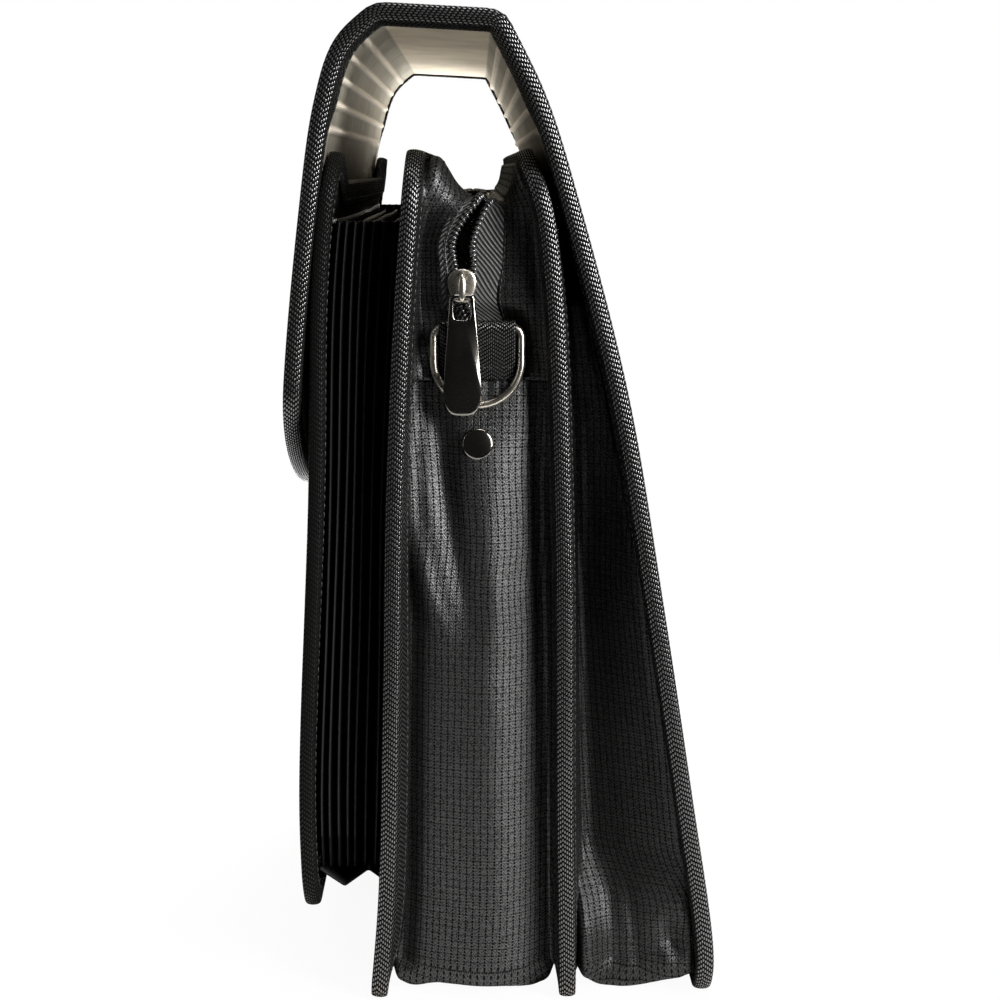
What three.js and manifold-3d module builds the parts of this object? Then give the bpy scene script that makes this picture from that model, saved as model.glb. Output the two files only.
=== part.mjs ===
// Soft briefcase of black woven nylon, standing on its base.
// From front to back it has a flap, a padded front board, a pleated plastic file, a zipped main
// compartment and a rear pocket. The back, the top and the flap are one padded cover.
// Millimetres. +Z is up, +X is the end with the zip slider, the flap faces -Y.

import * as THREE from "three";
import { mergeVertices } from "three/addons/utils/BufferGeometryUtils.js";
import manifoldModule from "manifold-3d";

const wasm = await manifoldModule();
wasm.setup();

// Sizes shared by many pieces
const CLEAR = 0.25; // gap kept between pieces that lie on one another
const COVER_REACH = 200; // end of the cover's binding, from the middle of the length
const WALL_REACH = 199; // end of the main walls' binding
const FRONT_REACH = 198; // end of the front board's binding
const PAD = 4; // padded cover and main walls
const FRONT_PAD = 3.2; // thinner front board
const TAPE = 1; // folded binding tape
const TAPE_CROWN = 0.6; // how far the tape's fold stands out past a flat fold
const LAP = 8; // how far the tape reaches in from a panel's edge
const EDGE = CLEAR + TAPE + TAPE_CROWN; // from a panel's edge to the outside of its tape
const CLOTH = 1; // woven bands
const HEM = 3; // from a wall's centre line to the band tucked under its tape
const TUCK = 3; // how far a band reaches under the tape
const FOOT_LEVEL = 1.6; // lower edge of the panels that stand on the surface
const WALL_HEAD = 331; // upper edge of the main walls
const END_SEAM = 246; // height of the seam across each end, under the strap anchors
const SEAM_PLANE = WALL_REACH - EDGE - LAP; // where the bands leave the tape, along X
const BASE_SEAM = FOOT_LEVEL + LAP; // the same at the base, along Z
const TOP_SEAM = WALL_HEAD - LAP; // the same at the top, along Z

// Centre lines of the padded panels, one row per bend, with the facets up to the next row
const BACK_LINE = [
  { y: 80.2, z: FOOT_LEVEL, facets: 1 },
  { y: 80.6, z: 20, facets: 2 },
  { y: 71.2, z: 83.4, facets: 1 },
  { y: 58.4, z: 163, facets: 2 },
  { y: 44.7, z: 240, facets: 2 },
  { y: 26.1, z: 310.5, facets: 3 },
  { y: 13.5, z: 350, facets: 3 },
  { y: -1.2, z: 379.8, facets: 0 },
];
const FLAP_LINE = [
  { y: -45.9, z: 382.2, facets: 2 },
  { y: -58.4, z: 370.2, facets: 3 },
  { y: -65.7, z: 349.3, facets: 3 },
  { y: -71.9, z: 309.7, facets: 2 },
  { y: -79.1, z: 240, facets: 2 },
  { y: -80.8, z: 184, facets: 0 },
];
const FRONT_LINE = [
  { y: -75.2, z: 35.4, facets: 1 },
  { y: -76.1, z: 84, facets: 2 },
  { y: -70.6, z: 204, facets: 1 },
  { y: -68.6, z: 277, facets: 1 },
  { y: -65.3, z: 308, facets: 1 },
  { y: -60.6, z: 331, facets: 0 },
];
const MAIN_FRONT_LINE = [
  { y: -48.6, z: FOOT_LEVEL, facets: 1 },
  { y: -45.2, z: 43, facets: 1 },
  { y: -42.7, z: 124, facets: 1 },
  { y: -40.8, z: 202, facets: 1 },
  { y: -36.9, z: 277, facets: 1 },
  { y: -32.5, z: WALL_HEAD, facets: 0 },
];
const MAIN_REAR_LINE = [
  { y: 26.2, z: FOOT_LEVEL, facets: 1 },
  { y: 24.9, z: 76, facets: 1 },
  { y: 23.7, z: 190, facets: 1 },
  { y: 20.0, z: 277, facets: 1 },
  { y: 15.5, z: 312, facets: 1 },
  { y: 8.8, z: WALL_HEAD, facets: 0 },
];

// Rounded corners of the panels, across the length and along the centre line
const CORNER_FACETS = 4;
const CORNERS = {
  coverFoot: { across: 15, along: 15, facets: CORNER_FACETS, open: 0 },
  flap: { across: COVER_REACH - EDGE, along: 60, facets: 9, open: 0.12 },
  board: { across: 20, along: 20, facets: CORNER_FACETS, open: 0 },
  wallFoot: { across: 8.5, along: 8.5, facets: CORNER_FACETS, open: 0 },
  wallHead: { across: 20, along: 20, facets: CORNER_FACETS, open: 0 },
};

// How far the tape stands open over a tucked band, by height
const WALL_FLARE = 3.2;
const POCKET_FLARE = [
  { z: 0, value: 2.8 },
  { z: 278, value: 2.6 },
  { z: 304, value: 0.6 },
  { z: 330, value: 0 },
];

// Colours and finishes
const NYLON = new THREE.MeshStandardMaterial({ color: 0x17171a, roughness: 0.75, metalness: 0 });
const TWILL = new THREE.MeshStandardMaterial({ color: 0x101013, roughness: 0.6, metalness: 0 });
const SATIN = new THREE.MeshStandardMaterial({ color: 0x8d857b, roughness: 0.45, metalness: 0 });
const PLASTIC = new THREE.MeshStandardMaterial({ color: 0x1b1b1e, roughness: 0.4, metalness: 0 });
const COIL = new THREE.MeshStandardMaterial({ color: 0x141416, roughness: 0.5, metalness: 0 });
const NICKEL = new THREE.MeshStandardMaterial({ color: 0x5f5d5a, roughness: 0.22, metalness: 1 });

const bag = new THREE.Group();
bag.name = "briefcase";

// Joins shared corners and turns every face outwards
function closedBody(geometry) {
  const bare = geometry.index ? geometry.toNonIndexed() : geometry.clone();
  bare.deleteAttribute("normal");
  bare.deleteAttribute("uv");
  const body = mergeVertices(bare, 1e-4);
  const index = body.index;
  const corner = [new THREE.Vector3(), new THREE.Vector3(), new THREE.Vector3()];
  let volume = 0;
  for (let i = 0; i < index.count; i += 3) {
    corner.forEach((point, k) => point.fromBufferAttribute(body.attributes.position, index.getX(i + k)));
    volume += corner[0].dot(corner[1].clone().cross(corner[2]));
  }
  if (volume < 0) {
    for (let i = 0; i < index.count; i += 3) {
      const second = index.getX(i + 1);
      index.setX(i + 1, index.getX(i + 2));
      index.setX(i + 2, second);
    }
  }
  return body;
}

function addPiece(name, geometry, material) {
  const body = closedBody(geometry);
  body.computeVertexNormals();
  const mesh = new THREE.Mesh(body, material);
  mesh.name = name;
  bag.add(mesh);
  return mesh;
}

function fromFaces(points, faces) {
  const geometry = new THREE.BufferGeometry();
  const flat = points.flatMap((p) => [p.x, p.y, p.z]);
  geometry.setAttribute("position", new THREE.Float32BufferAttribute(flat, 3));
  geometry.setIndex(faces.flat());
  return geometry;
}

// Solid shapes that are joined or cut
function toSolid(geometry) {
  const body = closedBody(geometry);
  const mesh = new wasm.Mesh({
    numProp: 3,
    vertProperties: Float32Array.from(body.attributes.position.array),
    triVerts: Uint32Array.from(body.index.array),
  });
  return new wasm.Manifold(mesh);
}

function toGeometry(solid) {
  const mesh = solid.getMesh();
  const geometry = new THREE.BufferGeometry();
  geometry.setAttribute("position", new THREE.Float32BufferAttribute(mesh.vertProperties, 3));
  geometry.setIndex(Array.from(mesh.triVerts));
  return geometry;
}

// Tapes that stand on the surface are pressed flat there
function pressedFlat(geometry) {
  const ground = new THREE.BoxGeometry(3 * COVER_REACH, 2 * COVER_REACH, 20);
  ground.translate(0, 0, -10);
  return toGeometry(toSolid(geometry).subtract(toSolid(ground)));
}

// A value read off a table of heights
function byHeight(rows, z, column = "value", level = "z") {
  if (z <= rows[0][level]) {
    return rows[0][column];
  }
  for (let i = 1; i < rows.length; i += 1) {
    const low = rows[i - 1];
    const high = rows[i];
    if (z <= high[level]) {
      const share = (z - low[level]) / (high[level] - low[level]);
      return THREE.MathUtils.lerp(low[column], high[column], share);
    }
  }
  return rows[rows.length - 1][column];
}

// A smooth centre line through the rows of a table, as y and z points
function centreLine(rows) {
  const bends = rows.map((row) => new THREE.Vector3(0, row.y, row.z));
  const curve = new THREE.CatmullRomCurve3(bends, false, "centripetal");
  const points = [];
  rows.forEach((row, i) => {
    for (let k = 0; k < row.facets; k += 1) {
      points.push(curve.getPoint((i + k / row.facets) / (rows.length - 1)));
    }
  });
  points.push(bends[bends.length - 1]);
  return points.map((p) => ({ y: p.y, z: p.z }));
}

// Distances along a line, and the place and directions at a distance
class Line {
  constructor(points) {
    this.points = points;
    this.marks = [0];
    for (let i = 1; i < points.length; i += 1) {
      const step = Math.hypot(points[i].y - points[i - 1].y, points[i].z - points[i - 1].z);
      this.marks.push(this.marks[i - 1] + step);
    }
    this.total = this.marks[points.length - 1];
  }

  heading(i) {
    const from = this.points[i];
    const to = this.points[i + 1];
    const run = this.marks[i + 1] - this.marks[i];
    return { y: (to.y - from.y) / run, z: (to.z - from.z) / run };
  }

  // Normals point to the outside of the cover, and to +Y on the walls
  at(s) {
    const last = this.points.length - 2;
    const i = Math.min(last, Math.max(0, this.marks.findIndex((mark) => mark > s + 1e-6) - 1));
    const segment = s >= this.total - 1e-6 ? last : i;
    const here = this.heading(segment);
    const onMark = segment > 0 && Math.abs(s - this.marks[segment]) < 1e-6;
    const before = onMark ? this.heading(segment - 1) : here;
    const sum = { y: here.y + before.y, z: here.z + before.z };
    const size = Math.hypot(sum.y, sum.z);
    const along = { y: sum.y / size, z: sum.z / size };
    const spread = 2 / size;
    const run = s - this.marks[segment];
    return {
      s,
      y: this.points[segment].y + here.y * run,
      z: this.points[segment].z + here.z * run,
      along,
      normal: { y: along.z * spread, z: -along.y * spread },
    };
  }

  yAt(z) {
    return byHeight(this.points, z, "y");
  }

  sAt(z) {
    const rows = this.points.map((point, i) => ({ z: point.z, value: this.marks[i] }));
    return byHeight(rows, z);
  }
}

// Rows of a panel from foot to head: each has its distance, place and half length
function panelRows(line, reach, foot, head) {
  const half = reach - EDGE;
  const rows = [];
  const corner = (shape, side) => {
    for (let k = 0; k <= shape.facets; k += 1) {
      const turn = THREE.MathUtils.lerp(shape.open, Math.PI / 2, k / shape.facets);
      const depth = shape.along * (1 - Math.cos(turn));
      const s = side === "foot" ? depth : line.total - depth;
      rows.push({ s, half: half - shape.across * (1 - Math.sin(turn)) });
    }
  };
  corner(foot, "foot");
  corner(head, "head");
  const closeRow = 2;
  line.marks.forEach((s) => {
    const inside = s > foot.along + closeRow && s < line.total - head.along - closeRow;
    if (inside) {
      rows.push({ s, half });
    }
  });
  rows.sort((a, b) => a.s - b.s);
  return rows.map((row) => ({ ...line.at(row.s), half: row.half }));
}

function onRow(row, x, offset) {
  return new THREE.Vector3(x, row.y + row.normal.y * offset, row.z + row.normal.z * offset);
}

// A flat band along the rows, between two offsets from the centre line
function ribbon(rows, low, high) {
  const points = [];
  const faces = [];
  rows.forEach((row) => {
    const down = typeof low === "function" ? low(row.s) : low;
    const up = typeof high === "function" ? high(row.s) : high;
    points.push(onRow(row, -row.half, down), onRow(row, row.half, down));
    points.push(onRow(row, row.half, up), onRow(row, -row.half, up));
  });
  for (let i = 0; i + 1 < rows.length; i += 1) {
    for (let k = 0; k < 4; k += 1) {
      const a = 4 * i + k;
      const b = 4 * i + ((k + 1) % 4);
      faces.push([a, b, b + 4], [a, b + 4, a + 4]);
    }
  }
  const end = 4 * (rows.length - 1);
  faces.push([0, 2, 1], [0, 3, 2], [end, end + 1, end + 2], [end, end + 2, end + 3]);
  return fromFaces(points, faces);
}

// A closed section carried along stations that come back to the first one
function loop(stations) {
  const count = stations[0].length;
  const points = stations.flat();
  const faces = [];
  stations.forEach((station, i) => {
    const next = (i + 1) % stations.length;
    for (let k = 0; k < count; k += 1) {
      const a = count * i + k;
      const b = count * i + ((k + 1) % count);
      const c = count * next + ((k + 1) % count);
      const d = count * next + k;
      faces.push([a, b, c], [a, c, d]);
    }
  });
  return fromFaces(points, faces);
}

// Tape folded over a panel's edge all round; up and down are its openings on the two faces
function binding(rows, pad, up, down) {
  const slot = pad / 2 + CLEAR;
  const face = slot + TAPE;
  const near = rows.map((row) => ({ row, x: row.half }));
  const far = rows.map((row) => ({ row, x: -row.half })).reverse();
  const ring = [...near, ...far];
  const outward = (from, to) => {
    const run = Math.hypot(to.x - from.x, to.row.s - from.row.s);
    return { x: (to.row.s - from.row.s) / run, s: -(to.x - from.x) / run };
  };
  const stations = ring.map((station, i) => {
    const before = outward(ring.at(i - 1), station);
    const after = outward(station, ring[(i + 1) % ring.length]);
    const sum = { x: before.x + after.x, s: before.s + after.s };
    const spread = 2 / (sum.x * sum.x + sum.s * sum.s);
    const { row } = station;
    const section = [
      [-LAP, face + up(row)],
      [0.4, face],
      [CLEAR + TAPE + TAPE_CROWN, 0.45 * face],
      [CLEAR + TAPE + TAPE_CROWN, -0.45 * face],
      [0.4, -face],
      [-LAP, -face - down(row)],
      [-LAP, -slot - down(row)],
      [CLEAR, -slot],
      [CLEAR, slot],
      [-LAP, slot + up(row)],
    ];
    return section.map(([out, offset]) => {
      const point = onRow(row, station.x, offset);
      point.x += sum.x * spread * out;
      point.y += sum.s * spread * out * row.along.y;
      point.z += sum.s * spread * out * row.along.z;
      return point;
    });
  });
  return loop(stations);
}

// A soft sheet through a grid of points, with a thickness at each column
function sheet(grid, thickness) {
  const rows = grid.length;
  const columns = grid[0].length;
  const pick = (i, k) => grid[Math.min(rows - 1, Math.max(0, i))][Math.min(columns - 1, Math.max(0, k))];
  const points = [];
  [1, -1].forEach((side) => {
    for (let i = 0; i < rows; i += 1) {
      for (let k = 0; k < columns; k += 1) {
        const down = pick(i + 1, k).clone().sub(pick(i - 1, k));
        const across = pick(i, k + 1).clone().sub(pick(i, k - 1));
        const normal = down.cross(across).normalize();
        points.push(grid[i][k].clone().addScaledVector(normal, (side * thickness(k)) / 2));
      }
    }
  });
  const faces = [];
  const quad = (a, b, c, d) => faces.push([a, b, c], [a, c, d]);
  const id = (i, k) => i * columns + k;
  const back = rows * columns;
  for (let i = 0; i + 1 < rows; i += 1) {
    for (let k = 0; k + 1 < columns; k += 1) {
      quad(id(i, k), id(i + 1, k), id(i + 1, k + 1), id(i, k + 1));
      quad(back + id(i, k), back + id(i, k + 1), back + id(i + 1, k + 1), back + id(i + 1, k));
    }
    quad(id(i + 1, 0), id(i, 0), back + id(i, 0), back + id(i + 1, 0));
    const edge = columns - 1;
    quad(id(i, edge), id(i + 1, edge), back + id(i + 1, edge), back + id(i, edge));
  }
  for (let k = 0; k + 1 < columns; k += 1) {
    const edge = rows - 1;
    quad(id(0, k), id(0, k + 1), back + id(0, k + 1), back + id(0, k));
    quad(id(edge, k + 1), id(edge, k), back + id(edge, k), back + id(edge, k + 1));
  }
  return fromFaces(points, faces);
}

// The way of a band: one end, a rounded corner, the run along X, and the same back at the far end.
// Each row has its place, its outward direction and its distance from the nearer end seam.
function bandWay(stops, level, radius, runStops) {
  const up = Math.sign(level - stops[0]);
  const near = stops.map((z) => ({ x: SEAM_PLANE, z, out: { x: 1, z: 0 }, part: "end" }));
  const turns = 3;
  for (let k = 0; k <= turns; k += 1) {
    const angle = (k / turns) * (Math.PI / 2);
    const out = { x: Math.cos(angle), z: up * Math.sin(angle) };
    const x = SEAM_PLANE - radius + radius * out.x;
    const z = level - up * radius + radius * out.z;
    near.push({ x, z, out, part: "corner" });
  }
  runStops.forEach((x) => near.push({ x, z: level, out: { x: 0, z: up }, part: "run" }));
  near.forEach((row, i) => {
    const last = near[Math.max(0, i - 1)];
    row.along = i === 0 ? 0 : last.along + Math.hypot(row.x - last.x, row.z - last.z);
    row.side = 1;
  });
  const mirror = (row) => ({ ...row, x: -row.x, out: { x: -row.out.x, z: row.out.z }, side: -1 });
  const far = near.map(mirror).reverse();
  return runStops.at(-1) === 0 ? [...near, ...far.slice(1)] : [...near, ...far];
}

// Cover: one padded panel bound all round, with a ribbed lining under the top and the flap
const backLine = new Line(centreLine(BACK_LINE));
const coverLine = new Line([...centreLine(BACK_LINE), ...centreLine(FLAP_LINE)]);
const coverRows = panelRows(coverLine, COVER_REACH, CORNERS.coverFoot, CORNERS.flap);
const pocketFlare = (row) => byHeight(POCKET_FLARE, row.z);
const flat = () => 0;
const onBack = (row) => (row.s < backLine.total ? pocketFlare(row) : 0);
addPiece("cover_panel", ribbon(coverRows, -PAD / 2, PAD / 2), NYLON);
addPiece("cover_binding", pressedFlat(binding(coverRows, PAD, flat, onBack)), TWILL);

const RIBS_PER_SIDE = 5;
const RIB_WIDTH = 3.5;
const RIB_CREST = 1.8;
const RIB_HEIGHT = 3;
const FLAP_RIB_STEP = 9.7;
const BACK_RIB_STEP = 8.7;
const LINING = 1;
const LINING_INSET = 10; // from the cover's edge, clear of the tape
const LINING_BACK_END = 326; // height where the lining stops on the back
const frontCrease = backLine.total + Math.hypot(
  FLAP_LINE[0].y - BACK_LINE.at(-1).y,
  FLAP_LINE[0].z - BACK_LINE.at(-1).z,
);
const ribs = [];
for (let i = 1; i <= RIBS_PER_SIDE; i += 1) {
  ribs.push(frontCrease + i * FLAP_RIB_STEP);
  ribs.push(backLine.total - i * BACK_RIB_STEP);
}
const ribShape = ribs.flatMap((s) => [
  { s: s - RIB_WIDTH / 2, value: 0 },
  { s: s - RIB_CREST / 2, value: RIB_HEIGHT },
  { s: s + RIB_CREST / 2, value: RIB_HEIGHT },
  { s: s + RIB_WIDTH / 2, value: 0 },
]);
ribShape.sort((a, b) => a.s - b.s);
const ribLift = (s) => byHeight(ribShape, s, "value", "s");

function liningRows() {
  const start = backLine.sAt(LINING_BACK_END);
  const end = coverLine.total - LINING_INSET - 1;
  const flapStart = coverLine.total - CORNERS.flap.along;
  const stops = coverLine.marks.filter((s) => s > start && s < flapStart);
  const clearStops = stops.filter((s) => ribShape.every((row) => Math.abs(row.s - s) > 0.4));
  const all = [start, ...clearStops, ...ribShape.map((row) => row.s)];
  const flapSteps = 7;
  for (let k = 0; k <= flapSteps; k += 1) {
    const share = Math.sin(((k / flapSteps) * Math.PI) / 2);
    all.push(THREE.MathUtils.lerp(flapStart, end, share));
  }
  const widest = COVER_REACH - EDGE - LINING_INSET;
  const depth = CORNERS.flap.along - LINING_INSET;
  all.sort((a, b) => a - b);
  return all.map((s) => {
    const share = Math.max(0, (s - flapStart) / depth);
    return { ...coverLine.at(s), half: widest * Math.sqrt(1 - share * share) };
  });
}
const liningFace = PAD / 2 + CLEAR;
addPiece(
  "cover_lining",
  ribbon(liningRows(), (s) => -liningFace - LINING - ribLift(s), (s) => -liningFace - ribLift(s)),
  SATIN,
);

// Front board, bound all round
const frontLine = new Line(centreLine(FRONT_LINE));
const frontRows = panelRows(frontLine, FRONT_REACH, CORNERS.board, CORNERS.board);
addPiece("front_panel", ribbon(frontRows, -FRONT_PAD / 2, FRONT_PAD / 2), NYLON);
addPiece("front_binding", binding(frontRows, FRONT_PAD, flat, flat), TWILL);

// Walls of the main compartment, bound all round
const mainFrontLine = new Line(centreLine(MAIN_FRONT_LINE));
const mainRearLine = new Line(centreLine(MAIN_REAR_LINE));
const wallFlare = () => WALL_FLARE;
const mainFrontRows = panelRows(mainFrontLine, WALL_REACH, CORNERS.wallFoot, CORNERS.wallHead);
const mainRearRows = panelRows(mainRearLine, WALL_REACH, CORNERS.wallFoot, CORNERS.wallHead);
addPiece("main_front_panel", ribbon(mainFrontRows, -PAD / 2, PAD / 2), NYLON);
addPiece("main_front_binding", pressedFlat(binding(mainFrontRows, PAD, wallFlare, flat)), TWILL);
addPiece("main_rear_panel", ribbon(mainRearRows, -PAD / 2, PAD / 2), NYLON);
addPiece("main_rear_binding", pressedFlat(binding(mainRearRows, PAD, pocketFlare, wallFlare)), TWILL);

// Pleated plastic file between the front board and the main front wall
const LEAF = 0.8; // front and back sheets and the base
const DIVIDER = 0.6;
const PLEAT_WALL = 0.7;
const PLEAT_OUT = 187; // outer folds, along X
const PLEAT_IN = 173; // inner folds, along X
const FILE_FOOT = 56;
const FILE_HEAD = 306;
const FILE_BACK_HEAD = 320;
// Folds of the base from front to back, and how far each hangs below the pleats
const FILE_KEEL = [
  { across: 0, drop: 0 },
  { across: 0.42, drop: 8.5 },
  { across: 0.82, drop: 0 },
  { across: 1, drop: 4.5 },
];
const FILE_LEVELS = [FILE_FOOT, 110, 190, 277, FILE_HEAD];
const DIVIDER_FOOT = 1.5; // above the pleats' lower edge
const DIVIDER_HEADS = [303, 300.5, 303.5, 299, 302, 300];
const FOLD_SHARES = [
  0, 0.07, 0.13, 0.19, 0.26, 0.33, 0.395, 0.46, 0.535, 0.61, 0.69, 0.77, 0.85, 0.93, 1,
];

function leafRows(line, from, to, half) {
  const first = line.sAt(from);
  const last = line.sAt(to);
  const inner = line.marks.filter((s) => s > first + 1 && s < last - 1);
  return [first, ...inner, last].map((s) => ({ ...line.at(s), half }));
}
const frontLeafLow = FRONT_PAD / 2 + CLEAR;
const backLeafHigh = -PAD / 2 - CLEAR;
const leafHalf = PLEAT_IN + 2;
addPiece(
  "file_front_sheet",
  ribbon(leafRows(frontLine, FILE_FOOT, FILE_HEAD, leafHalf), frontLeafLow, frontLeafLow + LEAF),
  PLASTIC,
);
addPiece(
  "file_back_sheet",
  ribbon(
    leafRows(mainFrontLine, FILE_FOOT, FILE_BACK_HEAD, leafHalf),
    backLeafHigh - LEAF,
    backLeafHigh,
  ),
  PLASTIC,
);

// Space left for the pleats between the two sheets at a height
function pleatSpan(z) {
  const tilt = 1.03; // walls lean, so offsets measure a little more along Y
  const front = frontLine.yAt(z) + (frontLeafLow + LEAF + CLEAR) * tilt;
  const back = mainFrontLine.yAt(z) + (backLeafHigh - LEAF - CLEAR) * tilt;
  return { front: front + PLEAT_WALL / 2, back: back - PLEAT_WALL / 2 };
}

// Outline of the zigzag at one height: outer side from front to back, inner side on the way back
function pleatOutline(z, side) {
  const span = pleatSpan(z);
  const folds = FOLD_SHARES.map((share) => THREE.MathUtils.lerp(span.front, span.back, share));
  const half = PLEAT_WALL / 2;
  const depth = PLEAT_OUT - PLEAT_IN;
  const outer = [];
  const inner = [];
  folds.forEach((y, i) => {
    const isOuterFold = i % 2 === 1;
    const isEnd = i === 0 || i === folds.length - 1;
    if (isEnd) {
      const lead = i === 0 ? -half : half;
      outer.push([PLEAT_IN, y + lead]);
      inner.push([PLEAT_IN, y - lead]);
      return;
    }
    const before = depth / (y - folds[i - 1]);
    const after = depth / (folds[i + 1] - y);
    const notch = (2 * half * before * after) / (before + after);
    const shift = (half * (before - after)) / (before + after);
    if (isOuterFold) {
      outer.push([PLEAT_OUT, y - half], [PLEAT_OUT, y + half]);
      inner.push([PLEAT_OUT - notch, y - shift]);
    } else {
      outer.push([PLEAT_IN + notch, y + shift]);
      inner.push([PLEAT_IN, y - half], [PLEAT_IN, y + half]);
    }
  });
  return [...outer, ...inner.reverse()].map(([x, y]) => new THREE.Vector3(side * x, y, z));
}

// Outlines of equal count stacked in height
function stack(outlines) {
  const count = outlines[0].length;
  const points = outlines.flat();
  const faces = [];
  for (let i = 0; i + 1 < outlines.length; i += 1) {
    for (let k = 0; k < count; k += 1) {
      const a = count * i + k;
      const b = count * i + ((k + 1) % count);
      faces.push([a, b, b + count], [a, b + count, a + count]);
    }
  }
  const contour = outlines[0].map((p) => new THREE.Vector2(p.x, p.y));
  const turn = Math.sign(THREE.ShapeUtils.area(contour));
  const top = count * (outlines.length - 1);
  THREE.ShapeUtils.triangulateShape(contour, []).forEach((face) => {
    const sameTurn = Math.sign(THREE.ShapeUtils.area(face.map((id) => contour[id]))) === turn;
    const lid = sameTurn ? face : [...face].reverse();
    faces.push([...lid].reverse(), lid.map((id) => id + top));
  });
  return fromFaces(points, faces);
}
addPiece("file_bellows_near", stack(FILE_LEVELS.map((z) => pleatOutline(z, 1))), PLASTIC);
addPiece("file_bellows_far", stack(FILE_LEVELS.map((z) => pleatOutline(z, -1))), PLASTIC);

// Divider leaves stand in the inner folds
DIVIDER_HEADS.forEach((head, i) => {
  const share = FOLD_SHARES[2 * (i + 1)];
  const levels = [FILE_FOOT + DIVIDER_FOOT, ...FILE_LEVELS.slice(1, -1), head];
  const leaf = new Line(
    levels.map((z) => {
      const span = pleatSpan(z);
      return { y: THREE.MathUtils.lerp(span.front, span.back, share), z };
    }),
  );
  const rows = leaf.marks.map((s) => ({ ...leaf.at(s), half: PLEAT_IN - CLEAR }));
  addPiece(`file_divider_${i + 1}`, ribbon(rows, -DIVIDER / 2, DIVIDER / 2), PLASTIC);
});

// Folded base of the file, with keels along the length
function keel() {
  const span = pleatSpan(FILE_FOOT);
  const top = FILE_FOOT - CLEAR;
  const folds = FILE_KEEL.map(({ across, drop }) => (
    new THREE.Vector2(THREE.MathUtils.lerp(span.front, span.back, across), top - drop)
  ));
  const under = folds.map((fold) => new THREE.Vector2(fold.x, fold.y - LEAF)).reverse();
  const shape = new THREE.Shape([...folds, ...under]);
  const geometry = new THREE.ExtrudeGeometry(shape, { depth: 2 * PLEAT_OUT, bevelEnabled: false });
  geometry.translate(0, 0, -PLEAT_OUT);
  geometry.applyMatrix4(new THREE.Matrix4().makeBasis(
    new THREE.Vector3(0, 1, 0),
    new THREE.Vector3(0, 0, 1),
    new THREE.Vector3(1, 0, 0),
  ));
  return geometry;
}
addPiece("file_base", keel(), PLASTIC);

// Bands between two walls: columns run from one tucked hem to the other
function band(way, columns, lower, upper, bulge) {
  return way.map((row) => columns.map((column) => {
    const offset = column.hem + column.bulge * bulge(row, column);
    const z = row.z + row.out.z * offset;
    const y = THREE.MathUtils.lerp(lower(z), upper(z), column.across);
    return new THREE.Vector3(row.x + row.out.x * offset, y, z);
  }));
}
const clothThickness = () => CLOTH;

// Main gusset: end, base and end between the two main walls, fuller low down, with a slanting fold
const GUSSET_COLUMNS = [
  { across: 0, hem: TUCK, bulge: 0 },
  { across: 0.024, hem: -1.2, bulge: 0 },
  { across: 0.09, hem: -2.8, bulge: 0.1 },
  { across: 0.18, hem: -1, bulge: 0.5 },
  { across: 0.3, hem: 0, bulge: 0.8 },
  { across: 0.42, hem: 0, bulge: 1 },
  { across: 0.55, hem: 0, bulge: 1 },
  { across: 0.68, hem: 0, bulge: 1.1 },
  { across: 0.8, hem: 0, bulge: 1.3 },
  { across: 0.9, hem: -2.8, bulge: 0.35 },
  { across: 0.976, hem: -1.2, bulge: 0 },
  { across: 1, hem: TUCK, bulge: 0 },
];
const GUSSET_STOPS = [END_SEAM - 0.15, 232, 212, 185, 150, 105, 60, 30];
const GUSSET_BULGE = [
  { z: 14, value: 6 },
  { z: 60, value: 6 },
  { z: 150, value: 4.5 },
  { z: 185, value: 3.2 },
  { z: 212, value: 1.2 },
  { z: 232, value: -1.6 },
  { z: END_SEAM, value: -3.6 },
];
const BASE_BULGE = 6;
const FOLD = { topShare: 0.16, top: 232, lowShare: 0.42, low: 140, width: 0.09, height: 2.6 };
function gussetBulge(row, column) {
  const plain = row.part === "run" ? BASE_BULGE : byHeight(GUSSET_BULGE, row.z);
  if (row.part !== "end" || row.z > FOLD.top - 8 || row.z < FOLD.low) {
    return plain;
  }
  const share = (FOLD.top - row.z) / (FOLD.top - FOLD.low);
  const off = (column.across - THREE.MathUtils.lerp(FOLD.topShare, FOLD.lowShare, share)) / FOLD.width;
  return plain + FOLD.height * Math.exp(-off * off);
}
const RUN_STOPS = [90, 0];
const FOOT_TURN = 4.5;
addPiece(
  "main_gusset",
  sheet(
    band(
      bandWay(GUSSET_STOPS, BASE_SEAM, FOOT_TURN, RUN_STOPS),
      GUSSET_COLUMNS,
      (z) => mainFrontLine.yAt(z) + HEM,
      (z) => mainRearLine.yAt(z) - HEM,
      gussetBulge,
    ),
    clothThickness,
  ),
  NYLON,
);

// Rear gusset: end, base and end between the main rear wall and the back.
// It is drawn in above and full at the foot.
const POCKET_COLUMNS = [
  { across: 0, hem: TUCK, bulge: 0 },
  { across: 0.03, hem: -1.2, bulge: 0 },
  { across: 0.17, hem: -2.8, bulge: 0.45 },
  { across: 0.33, hem: 0, bulge: 0.9 },
  { across: 0.5, hem: 0, bulge: 1 },
  { across: 0.68, hem: 0, bulge: 0.85 },
  { across: 0.84, hem: -2.8, bulge: 0.4 },
  { across: 0.975, hem: -1.8, bulge: 0 },
  { across: 1, hem: TUCK, bulge: 0 },
];
const POCKET_STOPS = [276, 240, 200, 150, 100, 65, 38, 22];
const POCKET_BULGE = [
  { z: 14, value: 5 },
  { z: 38, value: 4 },
  { z: 65, value: -2 },
  { z: 100, value: -9 },
  { z: 150, value: -12 },
  { z: 220, value: -8 },
  { z: 276, value: -3 },
];
const pocketBulge = (row) => (row.part === "run" ? BASE_BULGE : byHeight(POCKET_BULGE, row.z));
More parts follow.
